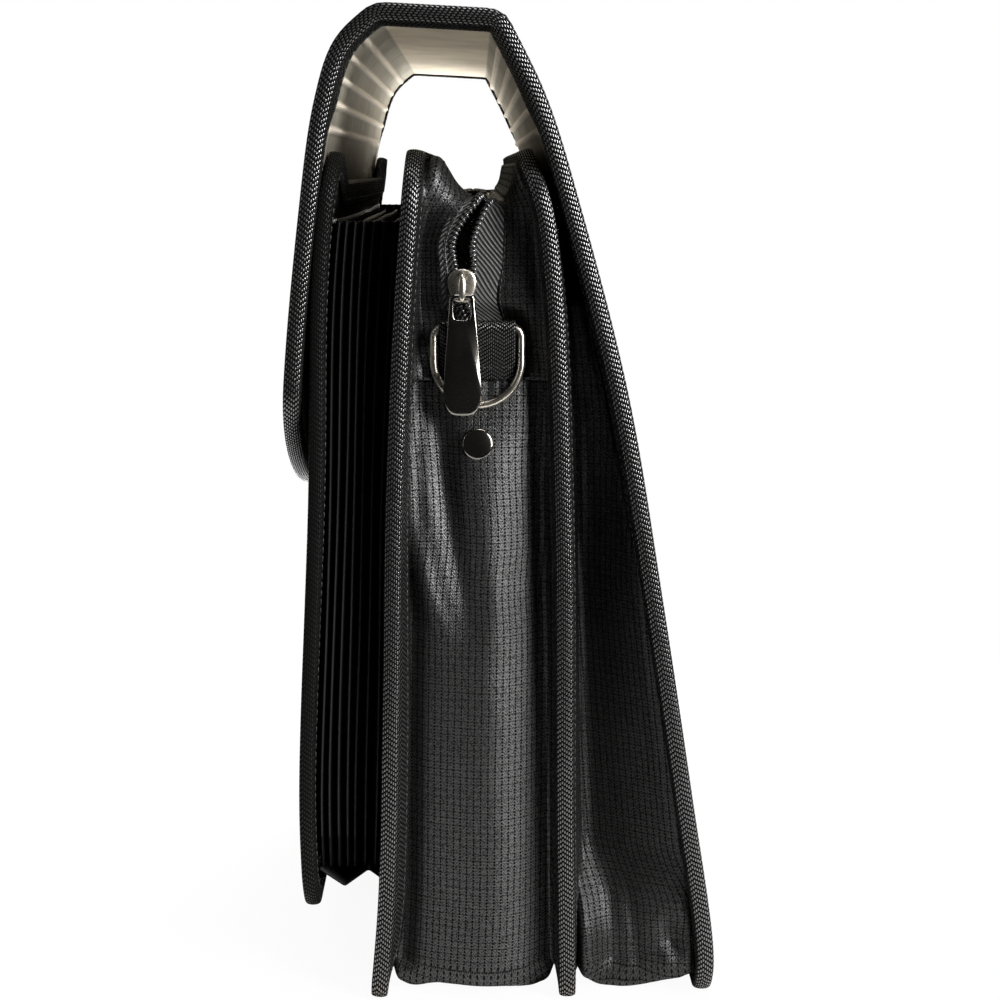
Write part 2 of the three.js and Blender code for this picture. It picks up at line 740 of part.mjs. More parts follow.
addPiece(
  "rear_gusset",
  sheet(
    band(
      bandWay(POCKET_STOPS, BASE_SEAM, FOOT_TURN, RUN_STOPS),
      POCKET_COLUMNS,
      (z) => mainRearLine.yAt(z) + HEM,
      (z) => backLine.yAt(z) - HEM,
      pocketBulge,
    ),
    clothThickness,
  ),
  NYLON,
);

// Zip: a woven strip and a tape with its coil on each side, over the top from end seam to end seam.
// Rows go by the distance from the end seam: middle of the chain, clear gap and depth.
const ZIP_NEAR = [
  { along: 0, middle: -8.5, gap: 0.4, depth: -5 },
  { along: 23, middle: -12, gap: 0.4, depth: -5 },
  { along: 29.5, middle: -14.8, gap: 0.4, depth: 0 },
  { along: 42.5, middle: -14.8, gap: 7, depth: 0 },
  { along: 55, middle: -12.5, gap: 9.5, depth: -1 },
  { along: 80, middle: -11, gap: 11, depth: -5 },
  { along: 170, middle: -11, gap: 13, depth: -9 },
];
const ZIP_FAR = [
  { along: 0, middle: -8.5, gap: 0.4, depth: -5 },
  { along: 23, middle: -9, gap: 0.4, depth: -5 },
  { along: 42.5, middle: -10, gap: 1.2, depth: -3 },
  { along: 62, middle: -11, gap: 6, depth: -4 },
  { along: 80, middle: -11, gap: 11, depth: -5 },
  { along: 170, middle: -11, gap: 13, depth: -9 },
];
const ZIP_STOPS = [END_SEAM + 0.15, 258, 269, 275.5, 282, 288.5, 299];
const ZIP_RUN_STOPS = [120, 60, 0];
const HEAD_TURN = 12;
const COIL_SIZE = 2.6;
const COIL_WIDTH = 2.4;
const ZIP_TAPE = 0.8;
const STRIP_COLUMNS = [
  { across: 0, hem: TUCK, bulge: 0 },
  { across: 0.12, hem: -0.6, bulge: 0 },
  { across: 0.4, hem: -1.5, bulge: 0.4 },
  { across: 0.7, hem: 0, bulge: 0.85 },
  { across: 1, hem: 0, bulge: 1 },
];
const STRIP_SHARE = { front: 0.5, rear: 0.58 }; // of the way from the wall to the coil
const zipWay = bandWay(ZIP_STOPS, TOP_SEAM, HEAD_TURN, ZIP_RUN_STOPS);
const zipRow = (row, column) => byHeight(row.side > 0 ? ZIP_NEAR : ZIP_FAR, row.along, column, "along");
const zipSides = [
  { name: "front", sign: -1, wall: (z) => mainFrontLine.yAt(z) + HEM },
  { name: "rear", sign: 1, wall: (z) => mainRearLine.yAt(z) - HEM },
];
zipSides.forEach(({ name, sign, wall }) => {
  const share = STRIP_SHARE[name];
  const coilEdge = (row) => zipRow(row, "middle") + (sign * zipRow(row, "gap")) / 2;
  const place = (row, offset, from, way) => {
    const z = row.z + row.out.z * offset;
    const y = way(wall(z), coilEdge(row), from);
    return new THREE.Vector3(row.x + row.out.x * offset, y, z);
  };
  const strip = zipWay.map((row) => STRIP_COLUMNS.map((column) => {
    const offset = column.hem + column.bulge * zipRow(row, "depth");
    return place(row, offset, column.across * share, THREE.MathUtils.lerp);
  }));
  addPiece(`zip_strip_${name}`, sheet(strip, clothThickness), NYLON);

  const seamToCoil = [0, 1, 2, 3];
  const tape = zipWay.map((row) => seamToCoil.map((k) => {
    const offset = zipRow(row, "depth");
    return place(row, offset, k, (from, to) => {
      const seam = THREE.MathUtils.lerp(from, to, share) - sign * 2 * CLEAR;
      return [seam, to + sign * (COIL_WIDTH + 0.3), to + sign * COIL_WIDTH, to][k];
    });
  }));
  addPiece(`zip_tape_${name}`, sheet(tape, (k) => (k < 2 ? ZIP_TAPE : COIL_SIZE)), COIL);
});

// Places shapes drawn flat (right is +Y, up is +Z) on an end of the bag, rising outwards along X
function onEnd(geometry, x, y, z) {
  geometry.applyMatrix4(new THREE.Matrix4().makeBasis(
    new THREE.Vector3(0, 1, 0),
    new THREE.Vector3(0, 0, 1),
    new THREE.Vector3(1, 0, 0),
  ));
  geometry.translate(x, y, z);
  return geometry;
}

function plate(shape, from, to) {
  const settings = { depth: to - from, bevelEnabled: false, curveSegments: 5 };
  const geometry = new THREE.ExtrudeGeometry(shape, settings);
  geometry.translate(0, 0, from);
  return geometry;
}

// Slider: two shield-shaped plates, the post that parts the coils, and the bridge for the pull
const SLIDER = { x: SEAM_PLANE, y: -14.8, z: 282, topHalf: 5.9, footHalf: 3.6, reach: 6.4 };
const SLIDER_FACE = COIL_SIZE / 2 + 0.35;
const SLIDER_PLATE = 1.4;
const POST = { half: 1, from: 3.2, to: 5.8 };
const BRIDGE = { half: 1.3, foot: -6.2, footTop: -5, head: 3.8, headTop: 5.6, gap: 3.4, bar: 1.1 };

function shield() {
  const { topHalf, footHalf, reach } = SLIDER;
  const shape = new THREE.Shape();
  shape.moveTo(0, reach - 1.4);
  shape.quadraticCurveTo(topHalf * 0.5, reach + 0.6, topHalf, reach - 1.6);
  shape.quadraticCurveTo(topHalf, -reach * 0.2, footHalf, -reach + 1.2);
  shape.quadraticCurveTo(0, -reach - 0.8, -footHalf, -reach + 1.2);
  shape.quadraticCurveTo(-topHalf, -reach * 0.2, -topHalf, reach - 1.6);
  shape.quadraticCurveTo(-topHalf * 0.5, reach + 0.6, 0, reach - 1.4);
  return shape;
}

function bridge() {
  const face = SLIDER_FACE + SLIDER_PLATE;
  const base = face - 0.3; // sunk a little into the plate
  const top = face + BRIDGE.gap + BRIDGE.bar;
  const shape = new THREE.Shape();
  shape.moveTo(BRIDGE.foot, base);
  shape.lineTo(BRIDGE.foot, top - 1.2);
  shape.quadraticCurveTo(BRIDGE.foot, top, BRIDGE.foot + 1.6, top);
  shape.lineTo(BRIDGE.headTop - 2, top);
  shape.quadraticCurveTo(BRIDGE.headTop, top, BRIDGE.headTop, base);
  shape.lineTo(BRIDGE.head, base);
  shape.lineTo(BRIDGE.head, face + BRIDGE.gap);
  shape.lineTo(BRIDGE.footTop, face + BRIDGE.gap);
  shape.lineTo(BRIDGE.footTop, base);
  const geometry = plate(shape, -BRIDGE.half, BRIDGE.half);
  // drawn as height and rise, so turned to stand on the plate
  geometry.applyMatrix4(new THREE.Matrix4().makeBasis(
    new THREE.Vector3(0, 1, 0),
    new THREE.Vector3(0, 0, 1),
    new THREE.Vector3(1, 0, 0),
  ));
  return geometry;
}

function slider() {
  const post = new THREE.BoxGeometry(2 * POST.half, POST.to - POST.from, 2 * SLIDER_FACE + 0.6);
  post.translate(0, (POST.from + POST.to) / 2, 0);
  const front = toSolid(plate(shield(), SLIDER_FACE, SLIDER_FACE + SLIDER_PLATE));
  const back = toSolid(plate(shield(), -SLIDER_FACE - SLIDER_PLATE, -SLIDER_FACE));
  return toGeometry(front.add(back).add(toSolid(post)).add(toSolid(bridge())));
}
addPiece("zip_slider", onEnd(slider(), SLIDER.x, SLIDER.y, SLIDER.z), NICKEL);

// Pull tab: a flat plate with a loop at the top, hanging on the slider's bridge
const PULL = { thick: 1.8, bar: 0.8, loopHalf: 4.9, half: 7.3, widest: -32, foot: -42 };
const PULL_HOLE = { half: 3.2, from: -0.8, to: -8.8 };
const PULL_AXIS = {
  x: SLIDER.x + SLIDER_FACE + SLIDER_PLATE + BRIDGE.gap / 2,
  z: SLIDER.z + BRIDGE.footTop + 1.4,
};

function pullTab() {
  const shape = new THREE.Shape();
  shape.moveTo(-PULL.loopHalf, PULL.bar - 2);
  shape.quadraticCurveTo(-PULL.loopHalf, PULL.bar, -PULL.loopHalf + 1.5, PULL.bar);
  shape.lineTo(PULL.loopHalf - 1.5, PULL.bar);
  shape.quadraticCurveTo(PULL.loopHalf, PULL.bar, PULL.loopHalf, PULL.bar - 2);
  shape.lineTo(PULL.half, PULL.widest);
  shape.bezierCurveTo(PULL.half, PULL.foot + 2, PULL.half - 4, PULL.foot, 0, PULL.foot);
  shape.bezierCurveTo(-PULL.half + 4, PULL.foot, -PULL.half, PULL.foot + 2, -PULL.half, PULL.widest);
  const hole = new THREE.Path();
  const { half, from, to } = PULL_HOLE;
  hole.moveTo(-half, from - 1);
  hole.lineTo(-half, to + 1);
  hole.lineTo(-half + 1, to);
  hole.lineTo(half - 1, to);
  hole.lineTo(half, to + 1);
  hole.lineTo(half, from - 1);
  hole.lineTo(half - 1, from);
  hole.lineTo(-half + 1, from);
  shape.holes.push(hole);
  return plate(shape, -PULL.thick / 2, PULL.thick / 2);
}
addPiece("zip_pull", onEnd(pullTab(), PULL_AXIS.x, SLIDER.y, PULL_AXIS.z), NICKEL);

// Strap anchors on both ends: a webbing loop sewn into the end seam, a ring in it, a rivet below
const ANCHOR_Y = -9;
const WEBBING = 1;
const WEBBING_WIDTH = 29;
const WIRE = 3; // ring
const RING = { barX: SEAM_PLANE - 0.2, barZ: 266.5, half: 16.6, drop: 29.5, lean: 0.05 };
const RING_FACETS = { way: 16, wire: 8 };
const WEBBING_FOOT = END_SEAM + 0.5;
const RIVET = { z: 222, radius: 6, rise: 1.8, lean: 0.14 };

// Doubled webbing, drawn as distance out along X and height.
// It goes up behind the bar, over it and down in front.
function webbingLine() {
  const turn = WIRE / 2 + CLEAR + WEBBING / 2;
  const back = RING.barX - turn;
  const points = [
    { y: back - 0.5, z: WEBBING_FOOT },
    { y: back, z: RING.barZ - 4 },
  ];
  const turns = 6;
  for (let k = 0; k <= turns; k += 1) {
    const angle = Math.PI * (1 - k / turns);
    points.push({ y: RING.barX + turn * Math.cos(angle), z: RING.barZ + turn * Math.sin(angle) });
  }
  points.push({ y: back + 1.2, z: WEBBING_FOOT + 3 });
  points.push({ y: back - 0.5 + WEBBING + CLEAR, z: WEBBING_FOOT });
  return new Line(points);
}

// Round wire along a closed D: the bar at the top, then down one side, round and up the other
function ringWire() {
  const turnLevel = RING.drop - RING.half;
  const middle = [];
  middle.push({ y: RING.half, z: 0 });
  for (let k = 0; k <= RING_FACETS.way; k += 1) {
    const angle = (k / RING_FACETS.way) * Math.PI;
    middle.push({ y: RING.half * Math.cos(angle), z: -turnLevel - RING.half * Math.sin(angle) });
  }
  middle.push({ y: -RING.half, z: 0 });
  const unit = (from, to) => {
    const run = Math.hypot(to.y - from.y, to.z - from.z);
    return { y: (to.y - from.y) / run, z: (to.z - from.z) / run };
  };
  const stations = middle.map((point, i) => {
    const before = unit(middle.at(i - 1), point);
    const after = unit(point, middle[(i + 1) % middle.length]);
    const out = { y: -(before.z + after.z), z: before.y + after.y };
    const spread = 2 / (out.y * out.y + out.z * out.z);
    const section = [];
    for (let k = 0; k < RING_FACETS.wire; k += 1) {
      const angle = ((k + 0.5) / RING_FACETS.wire) * 2 * Math.PI;
      const reach = (WIRE / 2) * Math.cos(angle) * spread;
      section.push(new THREE.Vector3(
        (WIRE / 2) * Math.sin(angle),
        point.y + out.y * reach,
        point.z + out.z * reach,
      ));
    }
    return section;
  });
  return loop(stations);
}

function rivetCap() {
  const profile = [
    new THREE.Vector2(0, 0),
    new THREE.Vector2(RIVET.radius - 0.5, 0),
    new THREE.Vector2(RIVET.radius, 0.4),
    new THREE.Vector2(RIVET.radius - 0.6, 1.1),
    new THREE.Vector2(RIVET.radius * 0.5, RIVET.rise - 0.2),
    new THREE.Vector2(0, RIVET.rise),
  ];
  const geometry = new THREE.LatheGeometry(profile, 18);
  geometry.rotateZ(-Math.PI / 2);
  geometry.rotateY(-Math.atan(RIVET.lean));
  return geometry;
}

const gussetFaceAtRivet = SEAM_PLANE + byHeight(GUSSET_BULGE, RIVET.z) + CLOTH / 2;
[{ name: "near", side: 1 }, { name: "far", side: -1 }].forEach(({ name, side }) => {
  // the far end is the near end turned over along X
  const mirror = (geometry) => geometry.scale(side, 1, 1);
  const hairpin = webbingLine();
  const rows = hairpin.marks.map((s) => ({ ...hairpin.at(s), half: WEBBING_WIDTH / 2 }));
  const webbing = ribbon(rows, -WEBBING / 2, WEBBING / 2);
  webbing.applyMatrix4(new THREE.Matrix4().makeBasis(
    new THREE.Vector3(0, 1, 0),
    new THREE.Vector3(1, 0, 0),
    new THREE.Vector3(0, 0, 1),
  ));
  webbing.translate(0, ANCHOR_Y, 0);
  addPiece(`${name}_webbing`, mirror(webbing), TWILL);

  const ring = ringWire();
  ring.rotateY(-RING.lean); // hangs against the webbing
  ring.translate(RING.barX, ANCHOR_Y, RING.barZ);
  addPiece(`${name}_ring`, mirror(ring), NICKEL);

  const rivet = rivetCap();
  rivet.translate(gussetFaceAtRivet + CLEAR + 0.1, ANCHOR_Y, RIVET.z);
  addPiece(`${name}_rivet`, mirror(rivet), NICKEL);
});

export default bag;
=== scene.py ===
import math

import bpy
import numpy as np
from mathutils import Matrix, Vector


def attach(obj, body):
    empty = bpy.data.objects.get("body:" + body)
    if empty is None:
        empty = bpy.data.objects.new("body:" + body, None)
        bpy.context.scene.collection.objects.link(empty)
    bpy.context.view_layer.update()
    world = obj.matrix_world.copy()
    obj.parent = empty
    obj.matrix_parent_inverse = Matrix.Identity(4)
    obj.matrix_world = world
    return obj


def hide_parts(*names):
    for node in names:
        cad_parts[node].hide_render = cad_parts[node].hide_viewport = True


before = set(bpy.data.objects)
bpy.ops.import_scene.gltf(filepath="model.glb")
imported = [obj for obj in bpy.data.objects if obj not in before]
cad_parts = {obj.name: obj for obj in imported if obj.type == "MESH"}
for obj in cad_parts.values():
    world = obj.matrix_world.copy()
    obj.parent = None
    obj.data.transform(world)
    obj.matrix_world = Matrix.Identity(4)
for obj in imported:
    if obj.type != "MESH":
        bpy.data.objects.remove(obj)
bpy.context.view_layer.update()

# Studio: a pale paper floor that runs out into a white surround, a tall window on the right, a narrow
# one on the left, a light above and one behind, and a camera level with the zip that looks at the near end.
CAMERA_PLACE = Vector((0.922, -0.0095, 0.3251))
CAMERA_YAW = math.radians(0.700)
CAMERA_PITCH = math.radians(9.673)
CAMERA_LENS = 69.7
CAMERA_SENSOR = 36
scene = bpy.context.scene
scene.view_settings.view_transform = "Standard"
ahead = Vector((-math.cos(CAMERA_YAW), math.sin(CAMERA_YAW), 0))
aside = Vector((math.sin(CAMERA_YAW), math.cos(CAMERA_YAW), 0))
looking = ahead * math.cos(CAMERA_PITCH) - Vector((0, 0, math.sin(CAMERA_PITCH)))
above = ahead * math.sin(CAMERA_PITCH) + Vector((0, 0, math.cos(CAMERA_PITCH)))
camera = bpy.data.objects.new("camera", bpy.data.cameras.new("camera"))
camera.data.lens = CAMERA_LENS
camera.data.sensor_width = CAMERA_SENSOR
camera.matrix_world = (
    Matrix.Translation(CAMERA_PLACE) @ Matrix((aside, above, -looking)).transposed().to_4x4()
)
scene.collection.objects.link(camera)
scene.camera = camera


def soft_light(name, place, towards, width, height, power):
    """A soft rectangular light that isn't itself in the picture."""
    lamp = bpy.data.lights.new(name, "AREA")
    lamp.shape = "RECTANGLE"
    lamp.size = width
    lamp.size_y = height
    lamp.energy = power
    light = bpy.data.objects.new(name, lamp)
    light.location = place
    light.visible_camera = False
    light.rotation_mode = "QUATERNION"
    light.rotation_quaternion = (Vector(towards) - Vector(place)).to_track_quat("-Z", "Y")
    scene.collection.objects.link(light)
    return light


soft_light("window_right", (1.12, 1.05, 0.68), (0.19, 0.0, 0.24), width=0.5, height=1.0, power=40)
soft_light("window_left", (0.6, -1.6, 0.7), (0.15, 0.0, 0.2), width=0.3, height=1.2, power=3)
soft_light("sky_above", (0.3, 0.2, 1.7), (0.0, 0.0, 0.3), width=0.7, height=0.7, power=12)
behind = soft_light("window_behind", (-1.0, 0.0, 0.27), (0.0, -0.02, 0.36), width=0.4, height=0.2, power=64)
behind.visible_glossy = False


class Thread:
    """One output of a finish's nodes, for use in plain sums."""

    def __init__(self, tree, source=None):
        self.tree = tree
        self.source = source

    def node(self, kind, settings=None, sockets=None, output=0):
        """A new node: its settings first, then the values or links of its sockets."""
        made = self.tree.nodes.new("ShaderNode" + kind)
        for name, value in (settings or {}).items():
            setattr(made, name, value)
        for name, value in (sockets or {}).items():
            if isinstance(value, Thread):
                self.tree.links.new(value.source, made.inputs[name])
            else:
                made.inputs[name].default_value = value
        return Thread(self.tree, made.outputs[output])

    def sum(self, operation, *values):
        return self.node("Math", {"operation": operation}, dict(enumerate(values)))

    def __add__(self, other):
        return self.sum("ADD", self, other)

    def __sub__(self, other):
        return self.sum("SUBTRACT", self, other)

    def __rsub__(self, other):
        return self.sum("SUBTRACT", other, self)

    def __mul__(self, other):
        return self.sum("MULTIPLY", self, other)

    def __truediv__(self, other):
        return self.sum("DIVIDE", self, other)

    def __pow__(self, other):
        return self.sum("POWER", self, other)

    def __abs__(self):
        return self.sum("ABSOLUTE", self)

    __radd__ = __add__
    __rmul__ = __mul__

    def whole(self):
        return self.sum("FLOOR", self)

    def part(self):
        return self.sum("FRACT", self)

    def hump(self):
        """Rises from 0 to 1 and falls again over each whole step."""
        return self.sum("SINE", self.part() * math.pi)

    def between(self, low, high):
        """0 up to low, 1 from high, smooth in between."""
        return self.node(
            "MapRange",
            {"interpolation_type": "SMOOTHSTEP"},
            {"Value": self, "From Min": low, "From Max": high},
        )

    def shade(self, dark, light):
        """A colour from dark at 0 to light at 1."""
        return self.node("Mix", {"data_type": "RGBA"}, {0: self, 6: dark, 7: light}, output=2)

    def speckle(self, scale, detail=2.0):
        place = self.node("TexCoord", output="Object")
        return self.node("TexNoise", None, {"Vector": place, "Scale": scale, "Detail": detail})

    def height(self):
        """Metres above the floor."""
        place = self.node("TexCoord", output="Object")
        return self.node("SeparateXYZ", None, {0: place}, output=2)

    def cloth_lines(self):
        """Millimetres along the piece and across it."""
        place = self.node("UVMap", {"uv_map": "cloth"})
        return [self.node("SeparateXYZ", None, {0: place}, output=k) for k in (0, 1)]

    def laid_mark(self, name):
        """A number laid on the points of the piece."""
        return self.node("Attribute", {"attribute_name": name}, output="Fac")

    def relief(self, distance, strength=1.0):
        return self.node("Bump", None, {"Height": self, "Distance": distance, "Strength": strength})

    def into(self, shader, name):
        self.tree.links.new(self.source, shader.inputs[name])


def finish(name, **sockets):
    """A new finish with its steady values set, and a start for its sums."""
    made = bpy.data.materials.new(name)
    made.use_nodes = True
    shader = made.node_tree.nodes["Principled BSDF"]
    for label, value in sockets.items():
        shader.inputs[label.replace("_", " ")].default_value = value
    return made, shader, Thread(made.node_tree)


def full_turn(count):
    """Even angles round a circle."""
    return np.arange(count) / count * 2 * np.pi


FLOOR_PLACE = (-0.85, 0.0, 0.0)
FLOOR_RADIUS = 1.3
FLOOR_SIDES = 96
FLOOR_SHADE = (0.86, 0.86, 0.85, 1)
FLOOR_PALE = 0.92
BAG_ON_FLOOR = (0.75, 0.0, 0.0)
WHITE = (1, 1, 1, 1)
floor_finish, floor_shader, start = finish("floor_paper", Base_Color=FLOOR_SHADE, Roughness=0.9)
floor_spot = start.node("TexCoord", output="Object")
floor_reach = start.node(
    "VectorMath", {"operation": "DISTANCE"}, {0: floor_spot, 1: BAG_ON_FLOOR}, output="Value"
)
floor_glow = start.node("Emission", None, {"Color": WHITE, "Strength": 1.0})
floor_near = Thread(start.tree, floor_shader.outputs[0])
floor_seen = start.node("LightPath", output="Is Camera Ray")
floor_share = (floor_reach.between(0.1, 0.5) * (1 - FLOOR_PALE) + FLOOR_PALE) * floor_seen
floor_mix = start.node("MixShader", None, {0: floor_share, 1: floor_near, 2: floor_glow})
floor_mix.into(start.tree.nodes["Material Output"], "Surface")
floor_mesh = bpy.data.meshes.new("floor")
floor_edge = [
    (FLOOR_RADIUS * math.cos(turn), FLOOR_RADIUS * math.sin(turn), 0) for turn in full_turn(FLOOR_SIDES)
]
floor_mesh.from_pydata(floor_edge, [], [list(range(FLOOR_SIDES))])
floor_mesh.materials.append(floor_finish)
floor = bpy.data.objects.new("floor", floor_mesh)
floor.location = FLOOR_PLACE
scene.collection.objects.link(floor)

SURROUND_LIGHT = 0.02
SURROUND_SHADE = (0.95, 0.97, 1, 1)
surround = bpy.data.worlds.new("surround")
surround.use_nodes = True
scene.world = surround
start = Thread(surround.node_tree)
seen = start.node("LightPath", output="Is Camera Ray")
white = start.node("Background", None, {"Color": WHITE, "Strength": 1.0})
dim = start.node("Background", None, {"Color": SURROUND_SHADE, "Strength": SURROUND_LIGHT})
mixed = start.node("MixShader", None, {0: seen, 1: dim, 2: white})
mixed.into(surround.node_tree.nodes["World Output"], "Surface")

# Cover: one panel of black nylon over thin foam, from the foot of the back over the top and down as
# the flap. A twill tape is folded round its whole edge and sewn through with one row of thread.
COVER_REACH = 200.0
PAD = 4.0
CLEAR = 0.25
TAPE = 1.0
LAP = 8.0
EDGE = 1.85
FOOT_LEVEL = 1.6
# Bends are the (y, z) places that a panel's middle line goes through, in order along the panel.
BACK_BENDS = [
    (80.2, FOOT_LEVEL), (80.6, 20), (71.2, 83.4), (58.4, 163),
    (44.7, 240), (26.1, 310.5), (13.5, 350), (-1.2, 379.8),
]
FLAP_BENDS = [
    (-45.9, 382.2), (-58.4, 370.2), (-65.7, 349.3), (-71.9, 309.7), (-79.1, 240), (-80.7, 186.5),
]


def bent(bends, steps=24):
    """A smooth run of (y, z) points through the bends."""
    rows = np.array(bends, float)
    rows = np.vstack([2 * rows[0] - rows[1], rows, 2 * rows[-1] - rows[-2]])
    points = []
    for a, b, c, d in zip(rows, rows[1:], rows[2:], rows[3:]):
        before, within, after = (math.sqrt(np.linalg.norm(q - p)) for p, q in ((a, b), (b, c), (c, d)))
        leave = (b - a) / before - (c - a) / (before + within) + (c - b) / within
        arrive = (c - b) / within - (d - b) / (within + after) + (d - c) / after
        leave, arrive = leave * within, arrive * within
        bow = 2 * b - 2 * c + leave + arrive
        sweep = -3 * b + 3 * c - 2 * leave - arrive
        for t in np.arange(steps) / steps:
            points.append(b + t * (leave + t * (sweep + t * bow)))
    points.append(rows[-2])
    return np.array(points)


def run_of(points):
    """How far along a path each of its points lies."""
    return np.concatenate([[0], np.cumsum(np.linalg.norm(np.diff(points, axis=0), axis=1))])


def unit(vectors):
    """The same directions, each one long."""
    return vectors / np.linalg.norm(vectors, axis=-1, keepdims=True)


class Line:
    """A wall's middle line seen from the end, with its distances and outward directions."""

    def __init__(self, points, rounding=0.0, dip=None):
        self.dip = dip
        gone = run_of(points)
        self.total = gone[-1]
        self.marks = np.linspace(0, self.total, int(self.total) + 1)
        run = np.stack([np.interp(self.marks, gone, points[:, k]) for k in (0, 1)], 1)
        if rounding:
            reach = int(3 * rounding)
            weights = np.exp(-0.5 * (np.arange(-reach, reach + 1) / rounding) ** 2)
            weights /= weights.sum()
            longer = np.vstack([2 * run[0] - run[reach:0:-1], run, 2 * run[-1] - run[-2:-reach - 2:-1]])
            run = np.stack([np.convolve(longer[:, k], weights, "valid") for k in (0, 1)], 1)
        self.run = run
        heading = unit(np.gradient(run, axis=0))
        self.out = np.stack([heading[:, 1], -heading[:, 0]], 1)

    def place(self, x, s, offset):
        """Points at x along the bag, s along the line and offset out from it."""
        x, s, offset = np.broadcast_arrays(x, s, offset)
        y, z, out_y, out_z = (np.interp(s, self.marks, a) for a in (*self.run.T, *self.out.T))
        z = z + out_z * offset
        if self.dip:
            z = z - self.dip(x, z)
        return np.stack([x, y + out_y * offset, z], -1)

    def z_at(self, s):
        return np.interp(s, self.marks, self.run[:, 1])

    def y_at(self, z):
        return np.interp(z, self.run[:, 1], self.run[:, 0])

    def s_at(self, z):
        return np.interp(z, self.run[:, 1], self.marks)


def ripple(a, b, length, seed):
    """Gentle waves over two directions, about as long as given, from about -1 to 1."""
    draw = np.random.default_rng(seed)
    waves = 0
    for _ in range(6):
        turn, phase, size = draw.uniform(0, 2 * np.pi), draw.uniform(0, 2 * np.pi), draw.uniform(0.7, 1.5)
        waves = waves + np.sin(2 * np.pi * (a * np.cos(turn) + b * np.sin(turn)) * size / length + phase)
    return waves / 4


def rise(value, low, high):
    """0 up to low, 1 from high, smooth in between."""
    t = np.clip((value - low) / (high - low), 0, 1)
    return t * t * (3 - 2 * t)


def bump(value, centre, width):
    """1 at the centre, falling away to 0 on both sides."""
    return np.exp(-((value - centre) / width) ** 2)


def lay_piece(name, points, faces):
    """A smooth piece from points in millimetres and lists of point numbers."""
    mesh = bpy.data.meshes.new(name)
    mesh.from_pydata((points / 1000).tolist(), [], faces)
    mesh.polygons.foreach_set("use_smooth", np.ones(len(faces), bool))
    made = bpy.data.objects.new(name, mesh)
    scene.collection.objects.link(made)
    return made


def side_faces(rows, count, ring=False):
    """Four-sided faces between closed sections of count points; a ring comes back to the first."""
    i, k = np.meshgrid(np.arange(rows if ring else rows - 1), np.arange(count), indexing="ij")
    after, beside = (i + 1) % rows, (k + 1) % count
    corners = [i * count + k, i * count + beside, after * count + beside, after * count + k]
    return np.stack(corners, -1).reshape(-1, 4)


def looks_out(points, quads):
    """Whether the four-sided faces round a piece have their fronts outward."""
    a, b, c, d = (points[quads[:, n]] - points.mean(0) for n in range(4))
    return (a * np.cross(b, c)).sum() + (a * np.cross(c, d)).sum() > 0


def sleeve(name, sections, along, across, ring=False):
    """A closed piece through sections laid one after another, marked in millimetres both ways."""
    rows, count = sections.shape[:2]
    points = sections.reshape(-1, 3)
    quads = side_faces(rows, count, ring)
    i = np.arange(rows if ring else rows - 1)[:, None]
    k = np.arange(count)[None, :]
    along = np.asarray(along, float)
    across = np.broadcast_to(np.asarray(across, float), (len(along), count + 1))
    here, after = along[i] + 0 * k, along[i + 1] + 0 * k
    u = np.stack([here, here, after, after], -1)
    v = np.stack([across[i, k], across[i, k + 1], across[i + 1, k + 1], across[i + 1, k]], -1)
    marks = np.stack([u, v], -1).reshape(-1, 4, 2)
    if not ring:
        half = np.arange(count // 2 - 1)
        other = count - 1 - half
        ladder = np.stack([half, half + 1, other - 1, other], -1)
        for row, way in ((0, -1), (rows - 1, 1)):
            lid_marks = np.stack([np.full(ladder.shape, along[row]), across[row, ladder]], -1)
            quads = np.vstack([quads, row * count + ladder[:, ::way]])
            marks = np.vstack([marks, lid_marks[:, ::way]])
    if not looks_out(points, quads):
        quads, marks = quads[:, ::-1], marks[:, ::-1]
    made = lay_piece(name, points, quads.tolist())
    made.data.uv_layers.new(name="cloth").data.foreach_set("uv", np.ascontiguousarray(marks).ravel())
    return made


def both_faces(front, back):
    """Sections that go over the front and come back under it."""
    return np.concatenate([front, back[:, ::-1]], 1)


def both_ways(across):
    """Marks across a piece for its front, its back and the closing edge."""
    return np.concatenate([across, across[..., ::-1], across[..., :1]], -1)


def round_section(sections):
    """Distances round the first section, back to its start."""
    return run_of(np.vstack([sections[0], sections[0][:1]]))


def set_marks(piece, name, values):
    """A number at each point of a piece, such as how rubbed it is there and where painted highlights lie."""
    piece.data.attributes.new(name, "FLOAT", "POINT").data.foreach_set("value", values.ravel())


def dress(piece, material, slot, *nodes, body="bag"):
    """Gives a piece its finish and its place in the frame, for the solids that it stands for."""
    piece.data.materials.append(material)
    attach(piece, body)
    if nodes:
        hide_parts(*nodes)
    return piece


def grey(level, blue):
    """A grey that leans to brown as its share of blue falls."""
    return (level, level, blue * level, 1)


def over_gaps(shader, start, threads):
    """Shows the finish only where threads lie on top, with dull black gaps between them."""
    gaps = start.node(
        "BsdfPrincipled",
        None,
        {"Base Color": (0.003, 0.003, 0.0028, 1), "Roughness": 0.9, "Specular IOR Level": 0.06},
    )
    woven = start.node("MixShader", None, {0: threads, 1: gaps, 2: Thread(start.tree, shader.outputs[0])})
    woven.into(start.tree.nodes["Material Output"], "Surface")


NYLON_COLUMN = 2.7
NYLON_PICK = 1.3
NYLON_LINE = 2.8
NYLON_RELIEF = 0.00013
NYLON_DUST = (0.03, 0.028, 0.024, 1)


